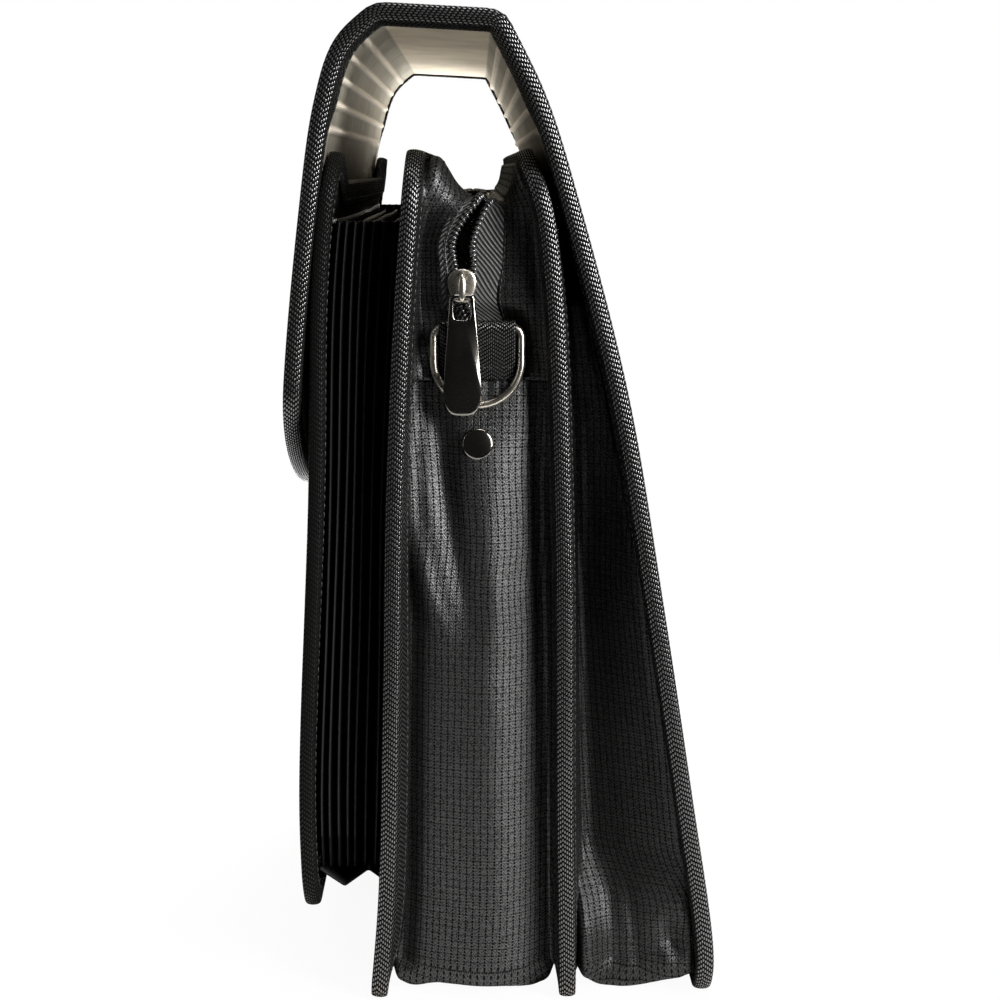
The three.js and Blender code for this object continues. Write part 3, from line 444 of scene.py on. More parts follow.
def nylon(name, tint, weave_light, gloss, dust=0.22):
    """Black ripstop nylon: columns of small gaps, slanting floats and a thin line every few picks."""
    made, shader, start = finish(name, Roughness=0.45, Specular_IOR_Level=1.0, IOR=gloss)
    along, across = start.cloth_lines()
    from_column = abs((across / NYLON_COLUMN).part() - 0.5)
    gap = (1 - from_column.between(0.05, 0.15)) * (along / NYLON_PICK).hump().between(0.4, 0.75)
    slant = (along / NYLON_PICK - from_column * 3.0).hump() * 0.4 + 0.6
    line = abs((along / NYLON_LINE).part() - 0.5).between(0.03, 0.08) * 0.38 + 0.62
    sparkle = start.speckle(1600.0, 1.0).between(0.32, 0.66)
    weave = slant * line * (1 - gap * 0.9) * (sparkle * 0.45 + 0.55)
    cloud = start.speckle(28.0, 4.0)
    dusty = (1 - start.height().between(0.0, 0.16)) * cloud.between(0.4, 0.75) * dust
    dark = cloud.shade(grey(0.3 * tint, 0.933), grey(tint, 0.94))
    thread = (weave ** 1.6).shade(dark, grey(weave_light, 0.95))
    dusty.shade(thread, NYLON_DUST).into(shader, "Base Color")
    (0.47 - weave * 0.06 + cloud * 0.04).into(shader, "Roughness")
    weave.relief(NYLON_RELIEF).into(shader, "Normal")
    over_gaps(shader, start, weave.between(0.25, 0.9))
    return made


TWILL_LEAN = 0.31
TWILL_RELIEF = 0.00016
TWILL_DUST = (0.04, 0.037, 0.031, 1)
BARE_THREAD = (0.3, 0.24, 0.17, 1)


def twill(name, pitch, rib, tint, thread_light, gloss, reach=4):
    """Black tape woven in slanting rows of floats that turn back every few ribs, slightly glossy."""
    made, shader, start = finish(name, Roughness=0.4, Specular_IOR_Level=1.0, IOR=gloss)
    along, across = start.cloth_lines()
    column = across / rib
    lean = start.sum("PINGPONG", column.whole(), reach)
    beat = along / pitch + lean * TWILL_LEAN
    floats = (beat.hump() ** 0.8) * (column.hump() ** 0.8)
    cloud = start.speckle(40.0, 3.0)
    dusty = (1 - start.height().between(0.0, 0.13)) * cloud.between(0.35, 0.8) * 0.6
    dark = cloud.shade(grey(0.3 * tint, 0.933), grey(tint, 0.95))
    thread = (floats ** 3).shade(dark, grey(thread_light, 0.96))
    dusted = dusty.shade(thread, TWILL_DUST)
    rubbed = start.laid_mark("rubbed") * cloud.between(0.3, 0.6)
    rubbed.shade(dusted, BARE_THREAD).into(shader, "Base Color")
    (0.38 - floats * 0.12 + dusty * 0.15).into(shader, "Roughness")
    floats.relief(TWILL_RELIEF).into(shader, "Normal")
    over_gaps(shader, start, floats.between(0.5, 0.85))
    return made


panel_cloth = nylon("panel_nylon", 0.003, 0.01, gloss=1.4)
tape_cloth = twill("edge_twill", 1.95, 0.85, 0.008, 0.035, gloss=1.95)
thread_finish, thread_shader, start = finish("black_thread", Roughness=0.4)
start.speckle(900.0).shade(grey(0.008, 1.0), (0.03, 0.03, 0.029, 1)).into(thread_shader, "Base Color")


def half_at(s, half, total, foot, head):
    """Half length of a panel at a distance from its foot, with rounded corners."""
    low = np.clip(1 - s / foot[1], 0, 1)
    high = np.clip(1 - (total - s) / head[1], 0, 1)
    return half - foot[0] * (1 - np.sqrt(1 - low ** 2)) - head[0] * (1 - np.sqrt(1 - high ** 2))


def edge_round(half, total, foot, head, step=3.0):
    """The panel's outline, from the middle of the foot all round: x, s, the way out and the run."""
    turn = np.linspace(0, np.pi / 2, 40)
    foot_x, foot_s = half - foot[0] + foot[0] * np.sin(turn), foot[1] * (1 - np.cos(turn))
    head_x, head_s = half - head[0] + head[0] * np.cos(turn), total - head[1] + head[1] * np.sin(turn)
    x = np.concatenate([[0], foot_x, head_x, [0]])
    s = np.concatenate([[0], foot_s, head_s, [total]])
    x, s = np.concatenate([x, -x[::-1][1:]]), np.concatenate([s, s[::-1][1:]])
    gone = run_of(np.stack([x, s], 1))
    marks = np.linspace(0, gone[-1], int(gone[-1] / step) + 1)
    x, s = np.interp(marks, gone, x)[:-1], np.interp(marks, gone, s)[:-1]
    run_x, run_s = np.roll(x, -1) - np.roll(x, 1), np.roll(s, -1) - np.roll(s, 1)
    run = np.hypot(run_x, run_s)
    return x, s, run_s / run, -run_x / run, marks


PAD_STEP = 5.0
PAD_COLUMNS = 54
PAD_END = 0.4
WIDE_CORNER = 50


def pad(name, line, reach, foot, head, thick, puff_out, puff_in, seed):
    """A padded panel that swells a little between its sewn edges."""
    half, total = reach - EDGE, line.total
    bend = np.linspace(0, np.pi / 2, 12)
    foot_rows = foot[1] * (1 - np.cos(bend))
    head_rows = total - head[1] * (1 - np.cos(bend))
    middle = np.arange(foot[1] + PAD_STEP, total - head[1] - 3, PAD_STEP)
    s = np.clip(np.concatenate([foot_rows, middle, head_rows]), PAD_END, total - PAD_END)
    s = np.unique(s)[:, None]
    even = np.linspace(-1, 1, PAD_COLUMNS)
    share = (np.sin(np.pi / 2 * even) + even) / 2
    width = half_at(s, half, total, foot, head)
    x = width * share
    side_gap = np.maximum(width - np.abs(x), 1e-3)
    head_gap = total - s
    if head[0] > WIDE_CORNER:
        inward = np.clip(1 - (x / half) ** 2, 0, 1)
        head_gap = np.maximum(total - head[1] * (1 - np.sqrt(inward)) - s, 1e-3)
    near_head = side_gap * head_gap / np.hypot(side_gap, head_gap)
    near_foot = side_gap * s / np.hypot(side_gap, s)
    swell = rise(np.minimum(near_head, near_foot), LAP - 0.5, LAP + 26)
    wave = ripple(x, s, 120, seed) * 0.35 + ripple(x, s, 45, seed + 1) * 0.12
    outer = line.place(x, s, thick / 2 + swell * (puff_out + wave * (puff_out > 0)))
    inner = line.place(x, s, -thick / 2 - swell * (puff_in + wave * (puff_in > 0)))
    return sleeve(name, both_faces(outer, inner), s[:, 0], both_ways(half * share))


FOLD_START = 0.4
TAPE_PUFF = 0.22
TAPE_WANDER = 0.18
SEWN_AT = 1.8
SEWN_SINK = 0.25
SEWN_WIDTH = 0.8
LOWEST_TAPE = 0.05


def folded_tape(name, line, reach, foot, head, thick, up, down, seed):
    """Tape folded over a panel's edge all round; up and down say how far it stands open on each face."""
    x, s, out_x, out_s, marks = edge_round(reach - EDGE, line.total, foot, head)
    slot, face = thick / 2 + CLEAR, thick / 2 + CLEAR + TAPE
    lap = np.linspace(-LAP, -FOLD_START, 7)
    flare = (FOLD_START - lap) / (FOLD_START + LAP)
    puff = TAPE_PUFF * np.sin(np.pi * (lap + LAP) / LAP)
    puff = puff - SEWN_SINK * bump(lap + LAP, SEWN_AT, SEWN_WIDTH)
    turn = np.linspace(np.pi / 2, -np.pi / 2, 13)
    fold_out = FOLD_START + (EDGE - FOLD_START) * np.cos(turn) ** 0.75
    fold_off = face * np.sin(turn)
    inside = np.array([-LAP, -LAP / 2, CLEAR])
    inside_flare = np.array([1, 0.5, 0])
    rim = [-LAP - 0.3]
    out = np.concatenate([rim, lap, fold_out, lap[::-1], rim, inside, inside[::-1]])
    level = np.concatenate([
        [face - TAPE / 2], face + puff, fold_off, -face - puff[::-1], [-face + TAPE / 2],
        [-slot] * 3, [slot] * 3,
    ])
    shut_fold, shut_lap = np.zeros(len(turn)), np.zeros(len(lap))
    ups = np.concatenate([[1], flare, shut_fold, shut_lap, [0], [0] * 3, inside_flare[::-1]])
    downs = np.concatenate([[0], shut_lap, shut_fold, flare[::-1], [1], inside_flare, [0] * 3])
    to_corner = np.minimum(reach - EDGE - np.abs(x), 30) + np.minimum(s, 30)
    shut = rise(to_corner, 6, 22)
    up_here, down_here = (up(s) * shut)[:, None], (down(s) * shut)[:, None]
    wander = (ripple(marks[:-1], 0 * marks[:-1], 70, seed) * TAPE_WANDER)[:, None]
    offset = level * (1 + 0.03 * wander) + ups * up_here - downs * down_here
    reach_out = out + wander * np.where(out > 0, 0.6, -0.8)
    if foot[0] < LAP:
        in_corner = (s < foot[1]) & (reach - EDGE - np.abs(x) < foot[0])
        deepest = np.where(in_corner, FOLD_START - foot[0], -2 * LAP)[:, None]
        reach_out = np.maximum(reach_out, deepest)
    points = line.place(x[:, None] + out_x[:, None] * reach_out, s[:, None] + 0 * out, offset)
    along = line.place(0, s + 0.5, 0) - line.place(0, s - 0.5, 0)
    past_end = (s < 0.5) | (s > line.total - 0.5)
    along[past_end] *= 2
    along /= np.maximum(np.linalg.norm(along, axis=1), 1e-6)[:, None]
    points += along[:, None, :] * (out_s[:, None] * reach_out)[..., None]
    points[..., 2] = np.maximum(points[..., 2], LOWEST_TAPE)
    made = sleeve(name, points, marks, round_section(points), ring=True)
    at_tip = (np.abs(points[..., 0]) > reach - 40) * (out > 0.5)
    set_marks(made, "rubbed", bump(points[..., 2], 0, 7) * at_tip * (0.9 + wander))
    width = LAP * 2 + np.pi * face * 0.9
    width / 1000
    base = line.place(0, s, 0)
    sewn = [points[:, k] for k in (3, len(lap) * 2 + len(turn) - 1)]
    return made, [(row, row - base) for row in sewn]


def sewing_frame(spots, gone, path, lift, reach):
    """At spots along a path on cloth: the places, and the ways ahead, up from the cloth and aside."""

    def at(places, values):
        return np.stack([np.interp(places, gone, values[:, k]) for k in range(3)], -1)

    way = unit(at(spots + reach, path) - at(spots - reach, path))
    up = at(spots, lift)
    up = unit(up - (up * way).sum(1)[:, None] * way)
    return at(spots, path), way, up, np.cross(way, up)


def lay_row(name, units, *face_sets):
    """One piece from a row of like units that all have the same sets of faces."""
    starts = np.arange(len(units))[:, None, None] * units.shape[1]
    faces = []
    for face_set in face_sets:
        faces += (starts + face_set).reshape(-1, face_set.shape[1]).tolist()
    return lay_piece(name, units.reshape(-1, 3), faces)


STITCH_SIDES = 5
STITCH_LIE = np.array([-0.5, -0.3, 0, 0.3, 0.5]) * 0.82
STITCH_SWELL = np.array([0.15, 0.9, 1.0, 0.9, 0.15])
STITCH_SINK = np.array([-0.35, 0.1, 0.25, 0.1, -0.35])


def stitch_row(name, rows, pitch=3.4, size=0.34, closed=True):
    """Rows of sewn stitches, each a short bowed thread, lying on the cloth."""
    turn = full_turn(STITCH_SIDES)
    stitches = []
    for path, lift in rows:
        if closed:
            path, lift = np.vstack([path, path[:1]]), np.vstack([lift, lift[:1]])
        gone = run_of(path)
        spots = np.arange(pitch / 2, gone[-1], pitch)
        middle, way, up, side = sewing_frame(spots, gone, path, lift, 0.3)
        along, rising = (STITCH_LIE * pitch)[:, None], (STITCH_SINK * size)[:, None]
        core = middle[:, None] + way[:, None] * along + up[:, None] * rising
        ring = side[:, None] * np.cos(turn)[:, None] + up[:, None] * np.sin(turn)[:, None]
        stitch = core[:, :, None] + ring[:, None] * (STITCH_SWELL * size)[:, None, None]
        stitches.append(stitch.reshape(len(spots), -1, 3))
    stitches = np.concatenate(stitches)
    lids = np.arange(stitches.shape[1]).reshape(-1, STITCH_SIDES)[[0, -1]]
    lids[0] = lids[0][::-1]
    made = lay_row(name, stitches, side_faces(len(STITCH_LIE), STITCH_SIDES), lids)
    return dress(made, thread_finish, "twill")


def bound_panel(name, shape, puffs, flares, tape_finish, seeds):
    """A padded panel, the tape folded round its edge and the stitches that hold it."""
    panel = pad(name + "_pad", *shape, *puffs, seeds[0])
    dress(panel, panel_cloth, "nylon", name + "_panel")
    tape, sewing = folded_tape(name + "_tape", *shape, *flares, seeds[1])
    dress(tape, tape_finish, "twill", name + "_binding")
    stitch_row(name + "_stitches", sewing)


ARCH_FLARE = 1.5
POCKET_FLARE = ([0, 278, 304, 330], [1.1, 1.0, 0.3, 0])
COVER_FOOT = (15.0, 15.0)
FLAP_CORNER = (COVER_REACH - EDGE, 60.0)
back_line = Line(bent(BACK_BENDS))
cover_line = Line(np.vstack([bent(BACK_BENDS), bent(FLAP_BENDS)]), rounding=2.2)


def no_flare(s):
    return np.zeros_like(s)


def cover_flare(s):
    z = cover_line.z_at(s)
    over_pocket = np.where(s < back_line.total, np.interp(z, *POCKET_FLARE), 0)
    return over_pocket + ARCH_FLARE * rise(z, 336, 352)


cover_shape = (cover_line, COVER_REACH, COVER_FOOT, FLAP_CORNER, PAD)
bound_panel("cover", cover_shape, (0.9, 0), (no_flare, cover_flare), tape_cloth, (3, 11))

# Lining: grey satin glued inside the top and the flap and pinched into raised ribs where the cover
# bends, so that it doesn't crease. It stops short of the tape.
RIBS_PER_SIDE = 5
RIB_WIDTH = 3.0
RIB_HEIGHT = 1.5
RIB_PALE = 2.5
FLAP_RIB_STEP = 9.7
BACK_RIB_STEP = 8.7
LINING = 1.0
LINING_INSET = 8.5
LINING_HALF = 190.0
LINING_BACK_END = 326.0
LINING_STEP = 0.7
SLAT_DIP = 0.35
SLAT_REACH = 4.5
GLUE = 0.15
back_crease = back_line.total
front_crease = back_crease + math.dist(BACK_BENDS[-1], FLAP_BENDS[0])
rib_numbers = np.arange(1, RIBS_PER_SIDE + 1)
rib_places = np.concatenate([
    front_crease + rib_numbers * FLAP_RIB_STEP,
    back_crease - rib_numbers * BACK_RIB_STEP,
])
last_rib = rib_places.max()
lining_start = back_line.s_at(LINING_BACK_END)
lining_end = cover_line.total - LINING_INSET - 1
flap_start = cover_line.total - FLAP_CORNER[1]
rib_zone = np.arange(lining_start, last_rib + 8, LINING_STEP)
rest_zone = np.arange(last_rib + 8, flap_start, 4.0)
flap_zone = flap_start + (lining_end - flap_start) * np.sin(np.linspace(0, np.pi / 2, 20))
s = np.concatenate([rib_zone, rest_zone, flap_zone])[:, None]
flap_share = np.clip((s - flap_start) / (FLAP_CORNER[1] - LINING_INSET), 0, 1)
share = np.linspace(-1, 1, 64)
x = (COVER_REACH - EDGE - LINING_INSET) * np.sqrt(1 - flap_share ** 2) * share
off_rib = np.abs(s[..., None] - rib_places).min(-1)
rib_lift = np.clip(1 - (2 * off_rib / RIB_WIDTH) ** 2, 0, 1) ** 0.6
end_pinch = 1 - rise(np.abs(x), 172, 189)
near_ribs = rise(s, lining_start, lining_start + 4) * (1 - rise(s, last_rib + 4, last_rib + 12))
slat_dip = SLAT_DIP * np.cos(np.clip(off_rib / SLAT_REACH, 0, 1) * np.pi) * near_ribs
drape = ripple(x, s * 3, 160, 21) * 0.22 + ripple(x, s, 40, 22) * 0.1
depth = PAD / 2 + CLEAR + GLUE + rib_lift * RIB_HEIGHT * end_pinch
depth = depth + np.abs(slat_dip) * 0.4 + np.abs(drape) * 0.6
face = cover_line.place(x, s, -depth - LINING)
back = cover_line.place(x, s, -depth)
lining = sleeve("lining_satin", both_faces(face, back), s[:, 0], both_ways(LINING_HALF * share))
rib_marks = np.broadcast_to(np.clip(1 - off_rib / RIB_PALE, 0, 1), x.shape)
set_marks(lining, "rib", both_faces(rib_marks, rib_marks))
satin, satin_shader, start = finish("grey_satin", Roughness=0.65, Specular_IOR_Level=0.1)
along, across = start.cloth_lines()
fine = (across / 0.55).hump()
cloud = start.speckle(60.0, 5.0)
stain = start.speckle(9.0, 3.0)
mottle = (cloud * 0.4 + stain * 0.6).between(0.2, 0.8)
# Painted light: the satin is one colour, but the back and the flap are painted darker than the top, and the
# ribs much paler, for how light falls on them. The mottle is the satin's own uneven tone.
slat_painted_shade = mottle.shade((0.15, 0.137, 0.11, 1), (0.36, 0.33, 0.27, 1))
top_painted_light = mottle.shade((0.36, 0.31, 0.235, 1), (0.66, 0.58, 0.45, 1))
past_back = along.between(back_crease + 1, back_crease + 3)
past_top = along.between(front_crease - 3, front_crease - 1)
flat_painted_light = (past_back * (1 - past_top)).shade(slat_painted_shade, top_painted_light)
rib_thread = (along / 0.75).hump()
rib_painted_highlight = (rib_thread * 0.5 + cloud * 0.5).shade((0.5, 0.44, 0.35, 1), (0.86, 0.78, 0.66, 1))
ribbed = start.laid_mark("rib").between(0.1, 0.85).shade(flat_painted_light, rib_painted_highlight)
# Painted shade: below about 0.35 m the satin darkens to near black, for the shade on the lower flap.
painted_low_shade = (1 - start.height().between(0.320, 0.352)) * 0.9
painted_low_shade.shade(ribbed, (0.03, 0.027, 0.021, 1)).into(satin_shader, "Base Color")
(0.7 - fine * 0.12 + cloud * 0.08).into(satin_shader, "Roughness")
(fine * 0.4 + rib_thread * start.laid_mark("rib") + cloud).relief(0.00018, 0.6).into(satin_shader, "Normal")
dress(lining, satin, "satin", "cover_lining")

# Front board: a thinner padded panel in front of the file, bound all round like the cover, with a darker,
# less glossy copy of the tape that paints the shade behind the flap. Its head dips between the two ends.
FRONT_REACH = 198.0
FRONT_PAD = 3.2
BOARD_CORNER = (20.0, 20.0)
BOARD_DIP = 12.0
FRONT_BENDS = [(-75.2, 35.4), (-76.1, 84), (-70.6, 204), (-68.6, 277), (-66.0, 308), (-62.0, 331)]
# Painted shade: the same twill as the edge tape, made darker and less glossy for the shadow behind the flap.
board_tape_painted_shade = twill("board_twill_painted_shade", 1.95, 0.85, 0.003, 0.01, gloss=1.2)


def board_dip(x, z):
    return BOARD_DIP * rise(FRONT_REACH - np.abs(x), 14, 44) * rise(z, 292, 334)


front_line = Line(bent(FRONT_BENDS), dip=board_dip)
board_shape = (front_line, FRONT_REACH, BOARD_CORNER, BOARD_CORNER, FRONT_PAD)
bound_panel("front", board_shape, (0, 0.8), (no_flare, no_flare), board_tape_painted_shade, (31, 33))

# Walls of the zipped compartment: two padded panels standing on the floor, each bound all round.
# The tape stands open towards the woven bands that are sewn in under it.
WALL_REACH = 199.0
WALL_HEAD = 331.0
WALL_FLARE = 1.3
LOW_FLARE = ([0, 16, 40, 110, 200, 262], [1.3, 3.2, 4.6, 4.4, 2.2, 1.3])
WALL_FOOT_CORNER = (5.0, 5.0)
WALL_HEAD_CORNER = (20.0, 20.0)
MAIN_FRONT_BENDS = [
    (-48.6, FOOT_LEVEL), (-45.2, 43), (-42.7, 124), (-40.8, 202), (-36.9, 277), (-32.5, WALL_HEAD),
]
MAIN_REAR_BENDS = [
    (26.2, FOOT_LEVEL), (24.9, 76), (23.7, 190), (20.0, 277), (15.5, 312), (8.8, WALL_HEAD),
]
main_front_line = Line(bent(MAIN_FRONT_BENDS))
main_rear_line = Line(bent(MAIN_REAR_BENDS))


def wall_flare(s):
    return np.full_like(s, WALL_FLARE)


def front_wall_flare(s):
    return np.interp(main_front_line.z_at(s), *LOW_FLARE)


def pocket_flare(s):
    return np.interp(main_rear_line.z_at(s), *POCKET_FLARE)


walls = [
    ("main_front", main_front_line, (front_wall_flare, no_flare), (41, 42)),
    ("main_rear", main_rear_line, (pocket_flare, wall_flare), (45, 46)),
]
for wall_name, line, flares, seeds in walls:
    wall_shape = (line, WALL_REACH, WALL_FOOT_CORNER, WALL_HEAD_CORNER, PAD)
    bound_panel(wall_name, wall_shape, (0, 0), flares, tape_cloth, seeds)

# File: a pleated box of thin black plastic between the front board and the main front wall. Its
# ends are folded zigzag, leaves stand in the inner folds, and the bottom is a folded keel.
LEAF = 0.8
LEAF_GAP = 0.05
LEAF_HEAD = 0.992
DIVIDER = 0.6
PLEAT_WALL = 0.7
PLEAT_OUT = 187.0
PLEAT_IN = 173.0
PLEAT_LEAN = 1.03
FILE_FOOT = 51.8
FILE_HEAD = 306.0
FILE_BACK_HEAD = 320.0
FILE_KEEL = ([0, 0.40, 0.44, 0.80, 0.84, 1], [0, 6.6, 6.6, 0.3, 0.3, 3.2])
DIVIDER_HEADS = [303, 300.5, 303.5, 299, 302, 300]
FOLD_SHARES = np.array([
    0, 0.07, 0.13, 0.19, 0.26, 0.33, 0.395, 0.46, 0.535, 0.61, 0.69, 0.77, 0.85, 0.93, 1,
])
FOLD_STEPS = 14
CRISP_FOLD = np.array([1, 2, 3, 2, 1]) / 9
BLUNT_FOLD = np.array([1, 2, 3, 4, 3, 2, 1]) / 16
BLUNT_BELOW = FILE_FOOT + 12.5
# Painted highlight on the pleats' outer folds: PALE_CREST gives where it starts and how fast it grows,
# CREST_LIGHT its strength by height.
PALE_CREST = (PLEAT_OUT - 1.3, 0.6)
CREST_LIGHT = ([51.8, 64.2, 64.4, 150, 240, 284, 306], [0.25, 0.3, 1.0, 1.0, 0.4, 0.1, 0.1])
front_leaf_face = FRONT_PAD / 2 + CLEAR
back_leaf_face = PAD / 2 + CLEAR


def file_plastic(name, highlight_shade):
    """Thin black plastic, scuffed, with a painted highlight where the crest marks lie: outer folds and leaf
    heads.
    """
    made, shader, start = finish(name, Roughness=0.45, Specular_IOR_Level=0.14)
    scuff = start.speckle(120.0, 6.0)
    haze = start.speckle(14.0, 2.0)
    body_shade = haze.shade(grey(0.0015, 1.0), grey(0.004, 1.0))
    # Painted highlight: paler where the crest marks lie, a little uneven with the scuffs.
    laid_mark = start.laid_mark("crest") * (0.7 + 0.3 * scuff)
    laid_mark.shade(body_shade, grey(highlight_shade, 0.96)).into(shader, "Base Color")
    (0.42 + scuff * 0.16).into(shader, "Roughness")
    scuff.relief(0.00008, 0.5).into(shader, "Normal")
    return made


plastic = file_plastic("file_plastic", 0.04)
# The leaves' copy paints a much paler highlight on their heads.
leaf_plastic = file_plastic("leaf_plastic", 0.4)


def pleat_span(z):
    """Where the zigzag's first and last folds lie at a height, inside the two outer leaves."""
    front = front_line.y_at(z) + (front_leaf_face + LEAF + CLEAR) * PLEAT_LEAN + PLEAT_WALL / 2
    back = main_front_line.y_at(z) - (back_leaf_face + LEAF + CLEAR) * PLEAT_LEAN - PLEAT_WALL / 2
    return front, back


def on_board(z):
    return front_line.y_at(z) + front_leaf_face + LEAF / 2 + LEAF_GAP


def on_wall(z):
    return main_front_line.y_at(z) - back_leaf_face - LEAF / 2 - LEAF_GAP


def in_fold(share):
    """Where a leaf stands that is held in the fold at this share of the file's depth."""

    def y_of(z):
        front, back = pleat_span(z)
        return front + (back - front) * share

    return y_of


def leaf(name, node, y_of, foot, head, half, thick, seed):
    """An upright plastic leaf with a slightly wavy head."""
    x = np.linspace(-half, half, 40)[:, None]
    t = np.append(np.linspace(0, LEAF_HEAD, 13), 1.0)
    top = head + 0.5 * ripple(x, 0 * x, 150, seed)
    z = foot + (top - foot) * t
    y = y_of(z) + 0.25 * ripple(x, z, 180, seed + 1) * np.sin(np.pi * t)
    front = np.stack([x + 0 * z, y - thick / 2, z], -1)
    back = np.stack([x + 0 * z, y + thick / 2, z], -1)
    sections = both_faces(front, back)
    made = sleeve(name, sections, x[:, 0], round_section(sections))
    # The head strip of the leaf carries the painted highlight.
    at_top = np.broadcast_to(t > LEAF_HEAD, z.shape) * 1.0
    set_marks(made, "crest", both_faces(at_top, at_top))
    return dress(made, leaf_plastic, "file_plastic", node)


outer_half, inner_half = PLEAT_IN + 2, PLEAT_IN - CLEAR
leaf("file_front_leaf", "file_front_sheet", on_board, FILE_FOOT, FILE_HEAD, outer_half, LEAF, 51)
leaf("file_back_leaf", "file_back_sheet", on_wall, FILE_FOOT, FILE_BACK_HEAD, outer_half, LEAF, 53)
for i, head in enumerate(DIVIDER_HEADS):
    stands_at = in_fold(FOLD_SHARES[2 * (i + 1)])
    names = (f"file_leaf_{i + 1}", f"file_divider_{i + 1}")
    leaf(*names, stands_at, FILE_FOOT + 1.5, head, inner_half, DIVIDER, 55 + 2 * i)


def pleats(name, node, side, seed):
    """A zigzag end of the file, rounded at its folds and a little uneven."""
    folds = np.arange(len(FOLD_SHARES))
    fold_x = np.where(folds % 2 == 1, PLEAT_OUT, PLEAT_IN)
    t = np.linspace(0, folds[-1], folds[-1] * FOLD_STEPS + 1)
    close_rows = [FILE_HEAD - 1.2, FILE_FOOT + 12, FILE_FOOT + 13]
    z = np.unique(np.concatenate([np.linspace(FILE_FOOT, FILE_HEAD, 34), close_rows]))
    sections, crests = [], []
    for level in z:
        uneven = ripple(FOLD_SHARES * 900, np.full(len(folds), level), 260, seed) * 0.45
        uneven[[0, -1]] = 0
        front, back = pleat_span(level)
        y = np.interp(t, folds, front + (back - front) * FOLD_SHARES + uneven)
        x = np.interp(t, folds, fold_x)
        weights = BLUNT_FOLD if level <= BLUNT_BELOW else CRISP_FOLD
        reach = len(weights) // 2
        longer = np.concatenate([2 * x[0] - x[reach:0:-1], x, 2 * x[-1] - x[-2:-reach - 2:-1]])
        x = np.convolve(longer, weights, "valid")
        run = unit(np.stack([np.gradient(x), np.gradient(y)], 1))
        off_x, off_y = run[:, 1] * PLEAT_WALL / 2, -run[:, 0] * PLEAT_WALL / 2
        outer = np.stack([side * (x + off_x), y + off_y, np.full_like(x, level)], 1)
        inner = np.stack([side * (x - off_x), y - off_y, np.full_like(x, level)], 1)
        sections.append(np.concatenate([outer, inner[::-1]]))
        # Painted highlight along the outer folds, by height.
        lit = np.clip((x - PALE_CREST[0]) / PALE_CREST[1], 0, 1) * np.interp(level, *CREST_LIGHT)
        crests.append(np.concatenate([lit, 0 * lit]))
    sections = np.array(sections)
    made = sleeve(name, sections, z, round_section(sections))
    set_marks(made, "crest", np.array(crests))
    return dress(made, plastic, "file_plastic", node)


pleats("file_pleats_near", "file_bellows_near", 1, 71)
pleats("file_pleats_far", "file_bellows_far", -1, 73)

x = np.linspace(-PLEAT_OUT, PLEAT_OUT, 30)[:, None]
keel_front, keel_back = pleat_span(FILE_FOOT)
across_keel = np.linspace(0, 1, 40)
keel_y = keel_front + (keel_back - keel_front) * across_keel + 0 * x
keel_top = FILE_FOOT - CLEAR - np.interp(across_keel, *FILE_KEEL) + 0 * x
upper = np.stack([x + 0 * keel_y, keel_y, keel_top], -1)
sections = both_faces(upper, upper - np.array([0, 0, LEAF]))
keel = sleeve("file_keel", sections, x[:, 0], round_section(sections))
set_marks(keel, "crest", np.zeros(sections.shape[:2]))
dress(keel, plastic, "file_plastic", "file_base")

# Woven bands: ripstop nylon sewn between two walls as end, base and end. The main band is full low
# down with a slanting fold at the near end, the rear one is drawn in above and sags at its foot.
CLOTH = 1.0
HEM = 3.0
END_SEAM = 246.0
SEAM_PLANE = WALL_REACH - EDGE - LAP
BASE_SEAM = FOOT_LEVEL + LAP
FOOT_TURN = 4.5
POCKET_HEAD = 276.0
LOWEST_CLOTH = 0.7
END_STEP = 2.4
BASE_STEP = 8.0
band_cloth = nylon("band_ripstop", 0.003, 0.012, gloss=1.57)
# Painted shade: a darker, less glossy copy of the band nylon for the rear band and the rear zip strip, which
# lie in shadow.
shaded_strip_cloth = nylon("strip_ripstop_painted_shade", 0.003, 0.01, gloss=1.4, dust=0.1)


def band_way(start_z, level, radius, end_step, run_step):
    """One end, a rounded corner, the run along the bag, and back at the far end, a column each."""
    up = math.copysign(1, level - start_z)
    turn_z = level - up * radius
    z = np.linspace(start_z, turn_z, int(abs(turn_z - start_z) / end_step) + 1)
    bend = np.linspace(0, np.pi / 2, 9)[1:]
    run = np.linspace(SEAM_PLANE - radius, 0, int((SEAM_PLANE - radius) / run_step) + 1)[1:]
    x = np.concatenate([np.full_like(z, SEAM_PLANE), SEAM_PLANE - radius + radius * np.cos(bend), run])
    out_x = np.concatenate([np.ones_like(z), np.cos(bend), 0 * run])
    out_z = np.concatenate([np.zeros_like(z), up * np.sin(bend), np.full_like(run, up)])
    z = np.concatenate([z, turn_z + up * radius * np.sin(bend), np.full_like(run, level)])
    gone = run_of(np.stack([x, z], 1))
    near = np.stack([x, z, out_x, out_z, gone, np.ones_like(x)], 1)
    far = near[:-1][::-1] * np.array([-1, 1, -1, 1, 1, -1])
    whole = np.vstack([near, far])
    return [column[:, None] for column in whole.T] + [run_of(whole[:, :2])]


def profile(u, table):
    """A smooth curve through (place, value) rows."""
    places, values = np.array(table, float).T
    slopes = np.gradient(values, places)
    u = np.clip(u, places[0], places[-1])
    k = np.clip(np.searchsorted(places, u, "right") - 1, 0, len(places) - 2)
    width = places[k + 1] - places[k]
    t = (u - places[k]) / width
    leave = (t ** 3 - 2 * t ** 2 + t) * width * slopes[k]
    arrive = (t ** 3 - t ** 2) * width * slopes[k + 1]
    return values[k] + (3 * t ** 2 - 2 * t ** 3) * (values[k + 1] - values[k]) + leave + arrive


